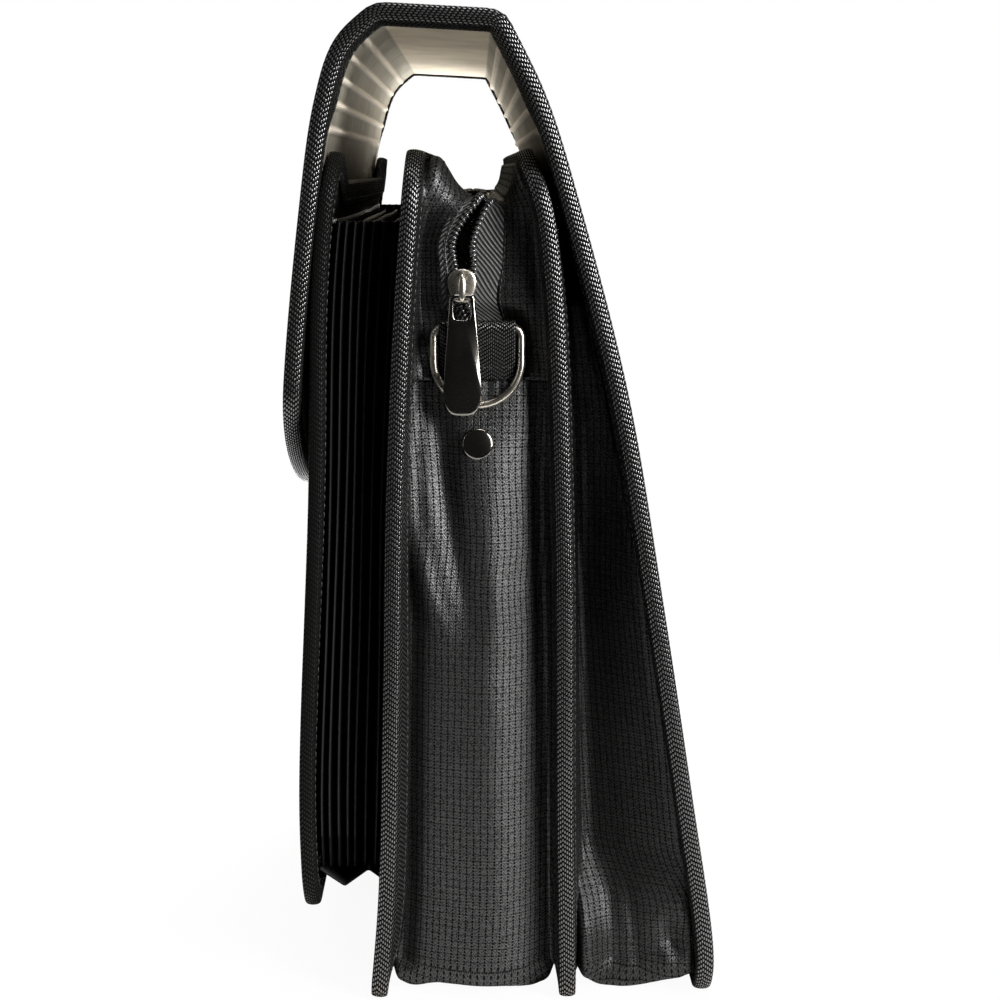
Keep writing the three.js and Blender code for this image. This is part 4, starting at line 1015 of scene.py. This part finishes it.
def thick_cloth(name, middle, thick, along, outward):
    """Cloth from a grid of its middle points; gives the piece, its width, its outer face and way out."""
    normal = unit(np.cross(np.gradient(middle, axis=0), np.gradient(middle, axis=1)))
    normal *= np.sign((normal * outward).sum(-1).mean())
    outer, inner = middle + normal * thick / 2, middle - normal * thick / 2
    wide = np.cumsum(np.linalg.norm(np.diff(middle, axis=1), axis=2), axis=1)
    v = np.concatenate([0 * wide[:, :1], wide], 1) - wide[:, -1:] / 2
    made = sleeve(name, both_faces(outer, inner), along, both_ways(v))
    return made, wide[:, -1].mean(), outer, normal


def band(name, way, y, offset, cloth, node):
    """A woven band along its way, with its cloth lying out from the way by the offset."""
    x, z, out_x, out_z, _, _, length = way
    level = np.maximum(z + out_z * offset, LOWEST_CLOTH)
    middle = np.stack([x + out_x * offset, y, level], -1)
    outward = np.concatenate([out_x, 0 * out_x, out_z], 1)[:, None]
    made, width, *_ = thick_cloth(name, middle, CLOTH, length, outward)
    dress(made, cloth, "nylon", node)
    width / 1000


# Rows are (place, value): hems, fullness and bases by the share across the band, the others by height.
MAIN_END_HEM = [
    (0, 3), (0.02, -2.4), (0.05, -3.2), (0.18, -1), (0.3, 0), (0.8, 0), (0.9, -2.8), (0.976, -1.2), (1, 3),
]
MAIN_END_FULL = [
    (0, 0), (0.024, 0), (0.09, 0.1), (0.18, 0.5), (0.3, 0.9), (0.42, 1.12),
    (0.56, 1.22), (0.68, 1.08), (0.8, 0.75), (0.89, 0.35), (0.976, 0), (1, 0),
]
MAIN_FULL_BY_HEIGHT = [
    (0, 6), (14, 6), (60, 6), (150, 4.5), (185, 3.2), (212, 1.2), (232, -1.6), (246, -3.6),
]
MAIN_BASE = [
    (0, 3), (0.02, -1), (0.05, 4.6), (0.085, 6.4), (0.3, 6.4), (0.6, 6.6), (0.88, 7.2),
    (0.94, 4.5), (0.98, -1), (1, 3),
]
RIDGE_WIDTH = 4.2
RIDGE_PLACE = [(100, -8), (130, -17), (145, -21.5), (160, -27.5), (180, -32.9), (212, -36), (246, -36)]
RIDGE_HEIGHT = [
    (100, 0), (138, 0.2), (152, 1.6), (165, 3.2), (180, 3.8), (205, 2.6), (225, 0.8), (246, 0),
]
VALLEY_WIDTH = 6.0
VALLEY_PLACE = [
    (100, 2), (130, -6), (145, -10.2), (160, -13), (180, -17.2), (212, -22.4), (223, -23.6), (246, -30),
]
VALLEY_DEPTH = [
    (100, 0), (138, 0.2), (152, 1.6), (165, 3.6), (180, 4.4), (212, 5.2), (232, 3.4), (246, 1.0),
]
SHOULDER_DROP = [(0, 0), (60, 0.5), (120, 1.5), (150, 2.6), (200, 2.6), (225, 1), (246, 0)]
FAR_FOLD = 0.55
way = band_way(END_SEAM + 1.2, BASE_SEAM, FOOT_TURN, END_STEP, BASE_STEP)
x, z, out_x, _, _, side, _ = way
u = np.unique(np.concatenate([
    np.linspace(0, 0.12, 12), np.linspace(0.12, 0.88, 66), np.linspace(0.88, 1, 12),
]))
on_end = np.abs(out_x)
front_y, rear_y = main_front_line.y_at(z) + HEM, main_rear_line.y_at(z) - HEM
y = front_y + (rear_y - front_y) * u
ridge = profile(z, RIDGE_HEIGHT) * bump(y, profile(z, RIDGE_PLACE), RIDGE_WIDTH)
valley = profile(z, VALLEY_DEPTH) * bump(y, profile(z, VALLEY_PLACE), VALLEY_WIDTH)
fold = np.where(side > 0, 1.0, FAR_FOLD) * (ridge - valley)
body = np.sin(np.pi * u) ** 0.7
crumple = body * (0.35 * ripple(y * 2.4, z, 90, 81) + 0.18 * ripple(y * 1.6, z, 34, 82))
gather = body * bump(z, END_SEAM, 9.0) * 0.2 * np.sin(y * 1.35 + 1.2 * np.sin(y * 0.4))
flute = 0.5 * bump(u, 0.63, 0.1) * rise(z, 20, 60) * (1 - rise(z, 180, 230))
end_offset = profile(u, MAIN_END_HEM) + profile(u, MAIN_END_FULL) * profile(z, MAIN_FULL_BY_HEIGHT)
shoulder = profile(z, SHOULDER_DROP) * rise(u, 0.5, 0.84) * (1 - rise(u, 0.9, 0.97))
end_offset = end_offset + fold + gather + flute + crumple - shoulder
base_offset = profile(u, MAIN_BASE) + 0.5 * body * ripple(x, y * 2, 120, 83)
offset = end_offset * on_end + base_offset * (1 - on_end)
band("main_band", way, y, offset, band_cloth, "main_gusset")

REAR_END_HEM = [
    (0, 3), (0.03, -1.2), (0.17, -2.8), (0.33, 0), (0.68, 0), (0.84, -2.8), (0.975, -1.8), (1, 3),
]
REAR_END_FULL = [
    (0, 0), (0.03, 0), (0.17, 0.45), (0.33, 0.9), (0.5, 1), (0.68, 0.85), (0.84, 0.4), (0.975, 0), (1, 0),
]
REAR_LOW = [
    (0, 3), (0.03, 1), (0.07, 5), (0.13, 4.2), (0.22, 0.8), (0.3, -1.5), (0.45, 0),
    (0.6, 2.5), (0.75, 5), (0.88, 6.8), (0.95, 5.5), (1, 3),
]
REAR_MIDDLE = [
    (0, 3), (0.03, -7), (0.08, -15), (0.15, -16.5), (0.35, -13.5), (0.5, -9.5),
    (0.65, -5.5), (0.8, -1.5), (0.9, 1.5), (0.95, 2.5), (1, 3),
]
REAR_FULL_BY_HEIGHT = [(0, -17), (100, -17), (150, -19), (220, -10), (276, -3)]
REAR_BASE = [
    (0, 3), (0.03, -1), (0.1, 4), (0.35, 8.7), (0.55, 8.3), (0.72, 6.2), (0.85, 2.6), (0.95, -0.8), (1, 3),
]
way = band_way(POCKET_HEAD, BASE_SEAM, FOOT_TURN, END_STEP, BASE_STEP)
_, z, out_x, *_ = way
on_end = np.abs(out_x)
front_y, rear_y = main_rear_line.y_at(z) + HEM, back_line.y_at(z) - HEM
y = front_y + (rear_y - front_y) * u
knot = 2.0 * bump(u, 0.76, 0.06) * bump(z, 15, 4) - 4.5 * bump(u, 0.82, 0.1) * bump(z, 24, 8)
tilt = 6.0 * (u - 0.5) * body * rise(z, 45, 80) * (1 - rise(z, 200, 260))
crease = -1.6 * bump(u, 0.5 - (z - 30) * 0.002, 0.06) * (1 - rise(z, 18, 60))
crumple = body * (0.5 * ripple(y * 2, z, 80, 91) + 0.2 * ripple(y, z * 1.4, 30, 92))
end_offset = profile(u, REAR_END_HEM) + profile(u, REAR_END_FULL) * profile(z, REAR_FULL_BY_HEIGHT) + tilt
end_offset = end_offset + (profile(u, REAR_MIDDLE) - end_offset) * (1 - rise(z, 150, 235))
end_offset = end_offset + (profile(u, REAR_LOW) - end_offset) * (1 - rise(z, 24, 62))
end_offset = end_offset + knot + crease + crumple
offset = end_offset * on_end + profile(u, REAR_BASE) * (1 - on_end)
# Painted shade: the rear band wears the darker, less glossy copy of the nylon.
band("rear_band", way, y, offset, shaded_strip_cloth, "rear_gusset")

# Zip: over the top from one end seam to the other. A nylon strip joins each wall to a slant-woven tape
# with a nylon coil along its edge. It stands open above the slider, and its front side slumps over.
TOP_SEAM = WALL_HEAD - LAP
HEAD_TURN = 12.0
COIL_SIZE = 2.9
COIL_WIDTH = 3.0
ZIP_TAPE = 0.8
UNDER_STRIP = 3.0
TOOTH_PITCH = 1.7
TOOTH_WIRE = 0.48
TOOTH_SLANT = 0.35
TOOTH_TURNS = 12
TOOTH_SIDES = 5
STRIP_COLUMNS = 34
SEAM_COLUMN = 31
ZIP_NEAR = {
    "along": [0, 23, 29.5, 42.5, 52, 60, 67, 75, 84, 105, 130, 172],
    "front_edge": [-8.7, -12.2, -15.0, -16.2, -17.0, -13.6, -8.6, -6.2, -5.0, -7.5, -13.5, -17.5],
    "front_depth": [-5, -5, 0, 0, 0.3, 0, -1.5, -6, -10, -12, -12, -11],
    "front_seam": [-13.5, -16, -18.6, -20.2, -20.6, -17.6, -13.2, -11, -10.5, -13.5, -19, -22],
    "rear_edge": [-8.3, -11.8, -14.6, -11.8, -12.2, -9.6, -6.4, -4.4, -3.2, -3.5, -4.5, -4.5],
    "rear_depth": [-5, -5, 0, 0, -1, -2.5, -5, -9, -12, -13, -12, -11],
    "rear_seam": [3, 0.3, -1.5, -0.3, 0.6, 1, 1.2, 1.4, 1.7, 1.7, 1.2, 1.2],
}
ZIP_FAR = {
    "along": [0, 23, 42.5, 62, 76, 92, 172],
    "front_edge": [-8.5, -9, -10, -10.9, -11.2, -15, -17.5],
    "front_depth": [-5, -5, -3, -6, -9, -10, -11],
    "front_seam": [-16, -16, -17, -19, -21, -24, -24],
    "rear_edge": [-8.5, -9, -10, -10.9, -11.2, -6.5, -4.5],
    "rear_depth": [-5, -5, -3, -6, -9, -10, -11],
    "rear_seam": [3, 2.5, 2, 1.2, 1.2, 1.2, 1.2],
}
STRIP_HEM = {
    "front": [(0, 3), (0.12, -0.6), (0.4, -1.5), (0.7, 0), (1, 0)],
    "rear": [(0, 3), (0.12, 0.6), (0.4, -0.3), (0.7, -1.4), (1, -2.4)],
}
STRIP_FULL = [(0, 0), (0.12, 0), (0.4, 0.4), (0.7, 0.85), (1, 1)]
STRIP_HOLLOW = {"front": 5.0, "rear": 0.0}
HOLLOW_SHAPE = [(0, 0), (0.08, 0.7), (0.16, 1), (0.3, 0.95), (0.5, 0.72), (0.75, 0.36), (1, 0)]
STRIP_TOP = {
    "front": [(0, 3), (0.08, 4), (0.2, 6.5), (0.35, 6), (0.5, 2), (0.65, -2.5), (0.8, -5.5), (1, -8)],
    "rear": [(0, 3), (0.1, 3.8), (0.3, 4.2), (0.5, 1.5), (0.75, -4), (1, -8)],
}
zip_way = band_way(END_SEAM + 0.15, TOP_SEAM, HEAD_TURN, end_step=1.2, run_step=3.0)
x, z, out_x, out_z, gone, side, zip_length = zip_way
on_top = np.abs(out_z)
at_near = side > 0
outward = np.concatenate([out_x, 0 * out_x, out_z], 1)[:, None]


def zip_row(column):
    near = profile(gone, list(zip(ZIP_NEAR["along"], ZIP_NEAR[column])))
    far = profile(gone, list(zip(ZIP_FAR["along"], ZIP_FAR[column])))
    return np.where(at_near, near, far)


tape_weave, tape_shader, start = finish("zip_tape_weave", Roughness=0.42, Specular_IOR_Level=0.5)
along, across = start.cloth_lines()
cord_line = (along / 2.1 - across * 0.55).hump()
fine = (across / 0.5).hump()
grain = start.speckle(300.0, 3.0)
(cord_line ** 6).shade(grey(0.002, 1.0), (0.13, 0.13, 0.125, 1)).into(tape_shader, "Base Color")
(0.5 - cord_line * 0.15 + grain * 0.1).into(tape_shader, "Roughness")
(cord_line + fine * 0.25).relief(0.0004).into(tape_shader, "Normal")

coil_nylon, coil_shader, start = finish("coil_nylon", Roughness=0.24, Specular_IOR_Level=1.0, IOR=1.8)
start.speckle(500.0).shade(grey(0.006, 1.0), (0.03, 0.03, 0.029, 1)).into(coil_shader, "Base Color")


def coil(name, chain, way_out):
    """Teeth of a coil: one slanting loop of nylon wire after another along the chain."""
    spots = np.arange(1.0, zip_length[-1] - 1, TOOTH_PITCH)
    core, heading, lift, over = (
        rows[:, None] for rows in sewing_frame(spots, zip_length, chain, way_out, 0.4)
    )
    turn, wire = full_turn(TOOTH_TURNS)[:, None], full_turn(TOOTH_SIDES)[:, None]
    loop = core + over * np.cos(turn) * (COIL_WIDTH / 2 - 0.3)
    loop = loop + lift * np.sin(turn) * (COIL_SIZE / 2 - 0.35) + heading * np.sin(turn) * TOOTH_SLANT
    spoke = unit(loop - core)[:, :, None]
    wires = loop[:, :, None] + TOOTH_WIRE * (spoke * np.cos(wire) + heading[:, None] * np.sin(wire))
    teeth = wires.reshape(len(spots), -1, 3)
    made = lay_row(name, teeth, side_faces(TOOTH_TURNS, TOOTH_SIDES, ring=True))
    dress(made, coil_nylon, "zip_coil")


for zip_side, sign, line in (("front", -1, main_front_line), ("rear", 1, main_rear_line)):
    edge, depth, seam = (zip_row(f"{zip_side}_{column}") for column in ("edge", "depth", "seam"))
    u = np.linspace(0, 1, STRIP_COLUMNS)
    at_corner = bump(gone, 72, 14) * at_near
    crumple = 0.35 * ripple(u * 25, gone, 60, 101 + sign)
    crumple = crumple + (0.15 + 0.7 * at_corner) * ripple(u * 22, gone, 20, 103 + sign)
    hollow = profile(u, HOLLOW_SHAPE) * rise(gone, 2, 16) * (1 - rise(gone, 52, 72)) * at_near
    end_offset = profile(u, STRIP_HEM[zip_side]) + profile(u, STRIP_FULL) * depth
    end_offset = end_offset - STRIP_HOLLOW[zip_side] * hollow
    offset = end_offset * (1 - on_top) + profile(u, STRIP_TOP[zip_side]) * on_top
    offset = offset + np.sin(np.pi * u) * crumple
    level = z + out_z * offset
    wall_y = line.y_at(level) - sign * HEM
    y = wall_y + (seam - wall_y) * u
    middle = np.stack([x + out_x * offset, y, level], -1)
    strip_name = f"zip_strip_cloth_{zip_side}"
    strip, width, face, lift = thick_cloth(strip_name, middle, CLOTH, zip_length, outward)
    # Painted shade: the rear strip wears the darker, less glossy copy of the nylon.
    dress(strip, band_cloth if sign < 0 else shaded_strip_cloth, "nylon", f"zip_strip_{zip_side}")
    max(width, 11) / 1000
    seam_row = [(face[:, SEAM_COLUMN], lift[:, SEAM_COLUMN])]
    stitch_row(f"zip_seam_{zip_side}", seam_row, pitch=3.0, size=0.26, closed=False)
    hem = slice(3, SEAM_COLUMN + 1)
    hem_rows = [(face[row, hem], lift[row, hem]) for row in (2, len(face) - 3)]
    stitch_row(f"end_seam_{zip_side}", hem_rows, pitch=2.6, size=0.28, closed=False)

    t = np.linspace(0, 1, 14)
    seam_offset = offset[:, -1:] - 0.7
    tape_offset = seam_offset + (depth - seam_offset) * t ** 0.8
    tape_offset = tape_offset + 0.3 * np.sin(np.pi * t) * ripple(gone, 0 * gone, 30, 107 + sign)
    short_of_edge = np.where(at_near, 0.5, -0.2)
    under = seam + sign * UNDER_STRIP
    tape_y = under + (edge + sign * short_of_edge - under) * t
    middle = np.stack([x + out_x * tape_offset, tape_y, z + out_z * tape_offset], -1)
    tape, width, *_ = thick_cloth(f"zip_tape_cloth_{zip_side}", middle, ZIP_TAPE, zip_length, outward)
    dress(tape, tape_weave, "zip_coil", f"zip_tape_{zip_side}")
    max(width, 10) / 1000
    chain_y = edge + sign * (COIL_WIDTH / 2 - 0.1)
    chain = np.concatenate([x + out_x * depth, chain_y, z + out_z * depth], 1)
    coil(f"zip_coil_{zip_side}", chain, outward[:, 0])

# Slider and pull: cast and plated with nickel, painted darker on the pull and the rivets for the dark
# surroundings they reflect. The slider is two shield-shaped plates on a post with a bridge over the front
# one, and the flat pull hangs on the bridge by its loop.
# Painted shade: a darker copy of the nickel for the pull and the rivets, for the dark surroundings they
# reflect.
nickel, nickel_shader, start = finish("nickel_painted_dark", Metallic=1.0, Roughness=0.2)
fine = start.speckle(700.0, 4.0)
smear = start.speckle(60.0, 3.0)
nickel_painted_dark_tone = (smear * 0.8 + fine * 0.2).shade((0.16, 0.15, 0.14, 1), (0.36, 0.34, 0.31, 1))
nickel_painted_dark_tone.into(nickel_shader, "Base Color")
(0.11 + smear * 0.07 + fine * 0.02).into(nickel_shader, "Roughness")
bright_nickel, bright_shader, start = finish("bright_nickel", Metallic=1.0, Roughness=0.16)
smear = start.speckle(200.0, 3.0)
smear.shade((0.66, 0.60, 0.50, 1), (0.86, 0.80, 0.70, 1)).into(bright_shader, "Base Color")
(0.22 + smear * 0.12).into(bright_shader, "Roughness")

SLIDER = Vector((SEAM_PLANE, -14.8, 282))
SLIDER_HALF = 5.5
SLIDER_FOOT = 3.6
SLIDER_REACH = 6.4
SLIDER_FACE = 1.65
SLIDER_PLATE = 1.4
# Each row of the plate is a share of the shield's outline and how far out it lies.
PLATE_RISE = [(0.94, 0), (1.0, 0.3), (1.0, 0.8), (0.95, 1.15), (0.82, 1.4), (0.5, 1.62), (0.15, 1.7)]
POST_RISE = 4.5
# The bridge goes by its distance out from the plate, its height and its half width.
BRIDGE_WAY = np.array([
    (-0.4, 5.0, 0.9), (1.2, 4.9, 1.0), (2.9, 4.2, 1.15), (3.9, 2.4, 1.5), (4.05, 0.0, 1.75),
    (4.0, -2.4, 1.6), (3.5, -4.6, 1.2), (2.0, -5.6, 0.95), (-0.4, -5.7, 0.9),
])
BRIDGE_THICK = 0.62


def curve_through(*pieces, steps=12):
    """Points along quadratic curves, each given by its start, pull and end."""
    t = np.arange(steps)[:, None] / steps
    curves = []
    for a, b, c in pieces:
        curves.append((1 - t) ** 2 * np.array(a) + 2 * t * (1 - t) * np.array(b) + t ** 2 * np.array(c))
    return np.vstack(curves)


def stacked(name, rings):
    """A closed piece from outlines stacked one on another, closed flat at both ends."""
    rings = np.array(rings)
    rows, count = rings.shape[:2]
    points, quads = rings.reshape(-1, 3), side_faces(rows, count)
    numbers = np.arange(rows * count).reshape(rows, count)
    faces = quads.tolist() + [numbers[0, ::-1].tolist(), numbers[-1].tolist()]
    if not looks_out(points, quads):
        faces = [face[::-1] for face in faces]
    return lay_piece(name, points, faces)


def mirrored(spot):
    return (-spot[0], spot[1])


crown, widest = (0, SLIDER_REACH), (SLIDER_HALF, 1.2)
waist, heel = (SLIDER_HALF * 0.9, -SLIDER_REACH * 0.4), (SLIDER_FOOT, -SLIDER_REACH + 1.2)
shield = curve_through(
    (crown, (SLIDER_HALF, SLIDER_REACH), widest),
    (widest, waist, heel),
    (heel, (0, -SLIDER_REACH - 0.8), mirrored(heel)),
    (mirrored(heel), mirrored(waist), mirrored(widest)),
    (mirrored(widest), (-SLIDER_HALF, SLIDER_REACH), crown),
)


def at_slider(out, aside, level):
    """Points at distances out, aside and up from the slider's middle."""
    return np.stack(np.broadcast_arrays(SLIDER.x + out, SLIDER.y + aside, SLIDER.z + level), -1)


def shield_plate(name, direction):
    rings = []
    for scale, height in PLATE_RISE:
        out = direction * (SLIDER_FACE + height * SLIDER_PLATE / PLATE_RISE[-1][1])
        rings.append(at_slider(out, shield[:, 0] * scale, shield[:, 1] * scale))
    return stacked(name, rings)


dress(shield_plate("slider_front_plate", 1), bright_nickel, "nickel", "zip_slider")
dress(shield_plate("slider_back_plate", -1), bright_nickel, "nickel")
turn = full_turn(16)
post_rings = [
    at_slider(out, np.cos(turn), POST_RISE + 1.3 * np.sin(turn))
    for out in np.linspace(-SLIDER_FACE - 0.2, SLIDER_FACE + 0.2, 4)
]
dress(stacked("slider_post", post_rings), bright_nickel, "nickel")
fine_way = np.linspace(0, len(BRIDGE_WAY) - 1, 33)
bridge = np.stack([profile(fine_way, list(enumerate(column))) for column in BRIDGE_WAY.T], 1)
bridge_run = unit(np.gradient(bridge[:, :2], axis=0))
bridge_rings = []
for (out, level, half), (run_out, run_z) in zip(bridge, bridge_run):
    lift = np.sin(turn) * BRIDGE_THICK
    out = out + SLIDER_FACE + SLIDER_PLATE
    bridge_rings.append(at_slider(out + run_z * lift, np.cos(turn) * half * 0.8, level - run_out * lift))
dress(stacked("slider_bridge", bridge_rings), bright_nickel, "nickel")

PULL_AXIS = Vector((193.9, -14.8, 278.4))
PULL_THICK = 1.8
PULL_HALF = 7.3
PULL_LOOP = 4.9
PULL_FOOT = -45.0
PULL_WIDEST = -35.0
PULL_FLAT = 2.2
HOLE_HALF = 3.2
HOLE_TOP = -0.8
HOLE_FOOT = -8.8
HOLE_BLUNT = 5.0
# Bevels go by how far in from the edge a row lies and its share of half the thickness.
HOLE_BEVEL = [(0.0, 0.55), (0.12, 0.84), (0.45, 1.0)]
RIM_BEVEL = [
    (1.1, 1.0), (0.5, 0.86), (0.12, 0.55), (0.0, 0.25), (0.0, -0.25), (0.12, -0.6), (0.5, -0.9), (1.0, -1.0),
]
right_side = curve_through(
    ((PULL_LOOP - 2.2, 0.8), (PULL_LOOP, 0.8), (PULL_LOOP, -1.6)),
    ((PULL_LOOP, -1.6), ((PULL_LOOP + PULL_HALF) / 2, -17), (PULL_HALF, PULL_WIDEST)),
    ((PULL_HALF, PULL_WIDEST), (PULL_HALF, PULL_FOOT + 0.4), (PULL_FLAT, PULL_FOOT)),
    steps=24,
)
right_side = np.vstack([right_side, [(PULL_FLAT, PULL_FOOT), (0, PULL_FOOT - 0.12)]])
outline = np.vstack([right_side, right_side[::-1][1:] * np.array([-1, 1])])
centre = np.array([0, (HOLE_TOP + HOLE_FOOT) / 2])
angles = np.unwrap(np.arctan2(outline[:, 1] - centre[1], outline[:, 0]))
order = np.argsort(angles)
angles, outline = angles[order], outline[order]
radius_y = (HOLE_TOP - HOLE_FOOT) / 2
across_hole = np.abs(np.cos(angles) / HOLE_HALF) ** HOLE_BLUNT
up_hole = np.abs(np.sin(angles) / radius_y) ** HOLE_BLUNT
hole_reach = (across_hole + up_hole) ** (-1 / HOLE_BLUNT)
hole = centre + np.stack([np.cos(angles), np.sin(angles)], 1) * hole_reach[:, None]
spoke_length = np.linalg.norm(outline - hole, axis=1)[:, None]
spoke = (outline - hole) / spoke_length
wider = 1 + 0.9 * rise(-outline[:, 1:], -PULL_WIDEST - 1, -PULL_FOOT)
pull_section = [(hole + spoke * inset, share) for inset, share in HOLE_BEVEL]
for inset, share in RIM_BEVEL:
    pull_section.append((outline - spoke * np.minimum(inset * wider, spoke_length * 0.45), share))
pull_section += [(hole + spoke * inset, -share) for inset, share in HOLE_BEVEL[::-1]]
sections = np.stack([
    np.stack([np.full(len(spots), share * PULL_THICK / 2), *spots.T], 1) for spots, share in pull_section
], 1) + np.array(PULL_AXIS)
pull = sleeve("pull_tab", sections, np.arange(len(sections) + 1), np.arange(sections.shape[1] + 1), ring=True)
dress(pull, nickel, "nickel", "zip_pull", body="zip_pull")

# Strap anchors, one at each end: a loop of twill webbing sewn into the end seam holds a ring of round
# nickel wire, and a rivet below it goes through the band.
ANCHOR_Y = -9.0
WEBBING = 1.0
WEBBING_WIDTH = 29.0
WEBBING_COLUMNS = 26
WIRE = 3.0
WIRE_SIDES = 14
RING_BAR_X = SEAM_PLANE - 0.2
RING_BAR_Z = 266.5
RING_HALF = 16.6
RING_DROP = 29.5
RING_CORNER = 4.0
RING_LEAN = 0.05
RIVET_Z = 222.0
RIVET_RADIUS = 6.0
RIVET_RISE = 1.8
RIVET_RIM = 1.2
RIVET_LEAN = 0.14
RIVET_FOOT = SEAM_PLANE + 0.2 + CLOTH / 2 + 0.35
web_cloth = twill("webbing_twill", 1.5, 0.8, 0.008, 0.04, reach=6, gloss=1.7)
hairpin_turn = WIRE / 2 + CLEAR + WEBBING / 2
leg = RING_BAR_X - hairpin_turn
bend = np.linspace(np.pi, 0, 15)
hairpin = np.vstack([
    [(leg - 0.5, END_SEAM + 0.5), (leg - 0.25, END_SEAM + 8), (leg, RING_BAR_Z - 4)],
    np.stack([RING_BAR_X + hairpin_turn * np.cos(bend), RING_BAR_Z + hairpin_turn * np.sin(bend)], 1),
    [(leg + 2.6, RING_BAR_Z - 7), (leg + 1.6, END_SEAM + 6), (leg + 0.85, END_SEAM + 0.5)],
])
web_line = Line(hairpin, rounding=1.0)
dome = [
    (RIVET_RADIUS - 0.5, 0), (RIVET_RADIUS, 0.25), (RIVET_RADIUS, 0.55),
    (RIVET_RADIUS - 0.25, 0.95), (RIVET_RADIUS - 0.8, RIVET_RIM),
]
for radius in (4.6, 3.8, 2.8, 1.6, 0.5):
    dome.append((radius, RIVET_RIM + (RIVET_RISE - RIVET_RIM) * (1 - (radius / 5.2) ** 2)))
for end, side in (("near", 1), ("far", -1)):
    s = np.linspace(0, web_line.total, 70)[:, None]
    across_web = np.linspace(-1, 1, WEBBING_COLUMNS)
    selvedge = 0.12 * bump(np.abs(across_web), 0.93, 0.05)
    bow = 0.15 * ripple(across_web * 20 + 0 * s, s, 30, 121 + side)
    half_width = across_web * WEBBING_WIDTH / 2
    outer = web_line.place(half_width, s, -WEBBING / 2 - selvedge - bow * 0.5)
    inner = web_line.place(half_width, s, WEBBING / 2)
    sections = both_faces(outer, inner)
    sections = np.stack([side * sections[..., 1], sections[..., 0] + ANCHOR_Y, sections[..., 2]], -1)
    web = sleeve(f"{end}_web", sections, s[:, 0], both_ways(half_width))
    set_marks(web, "rubbed", np.zeros(sections.shape[:2]))
    dress(web, web_cloth, "twill", f"{end}_webbing")
    sewn = []
    for above_seam in (5, 15):
        row = np.argmin(np.abs(s[:, 0] - (web_line.total - above_seam)))
        stitched = sections[row, 1:WEBBING_COLUMNS - 1]
        sewn.append((stitched, np.tile([side, 0.0, 0.0], (len(stitched), 1))))
    stitch_row(f"{end}_web_stitches", sewn, pitch=2.4, size=0.26, closed=False)

    arc = np.linspace(0, np.pi, 40)
    quarter = np.linspace(0, np.pi / 2, 8)
    corner_x, corner_z = RING_HALF - RING_CORNER, -RING_CORNER
    across_wire, down_wire = RING_CORNER * np.sin(quarter), RING_CORNER * np.cos(quarter)
    wire_way = np.vstack([
        np.stack([corner_x + across_wire, corner_z + down_wire], 1),
        np.stack([RING_HALF * np.cos(arc), RING_HALF - RING_DROP - RING_HALF * np.sin(arc)], 1),
        np.stack([-corner_x - down_wire, corner_z + across_wire], 1),
    ])
    run = unit(np.roll(wire_way, -1, 0) - np.roll(wire_way, 1, 0))
    turn = full_turn(WIRE_SIDES)
    flat_out = (WIRE / 2) * np.sin(turn) + 0 * wire_way[:, :1]
    ring_y = wire_way[:, :1] + run[:, 1:] * (WIRE / 2) * np.cos(turn)
    flat_up = wire_way[:, 1:] - run[:, :1] * (WIRE / 2) * np.cos(turn)
    ring_x = flat_out * math.cos(RING_LEAN) - flat_up * math.sin(RING_LEAN)
    ring_z = flat_out * math.sin(RING_LEAN) + flat_up * math.cos(RING_LEAN)
    sections = np.stack([side * (RING_BAR_X + ring_x), ANCHOR_Y + ring_y, RING_BAR_Z + ring_z], -1)
    marks = np.arange(len(sections) + 1)
    ring = sleeve(f"{end}_wire_ring", sections, marks, np.arange(WIRE_SIDES + 1), ring=True)
    dress(ring, bright_nickel, "nickel", f"{end}_ring", body=f"{end}_ring")

    turn = full_turn(40)
    cap_rings = []
    for radius, height in dome:
        cap_x = RIVET_FOOT + height - RIVET_LEAN * radius * np.sin(turn)
        cap_z = RIVET_Z + radius * np.sin(turn) + RIVET_LEAN * height
        cap_rings.append(np.stack([side * cap_x, ANCHOR_Y + radius * np.cos(turn), cap_z], 1))
    dress(stacked(f"{end}_rivet_cap", cap_rings), nickel, "nickel", f"{end}_rivet")
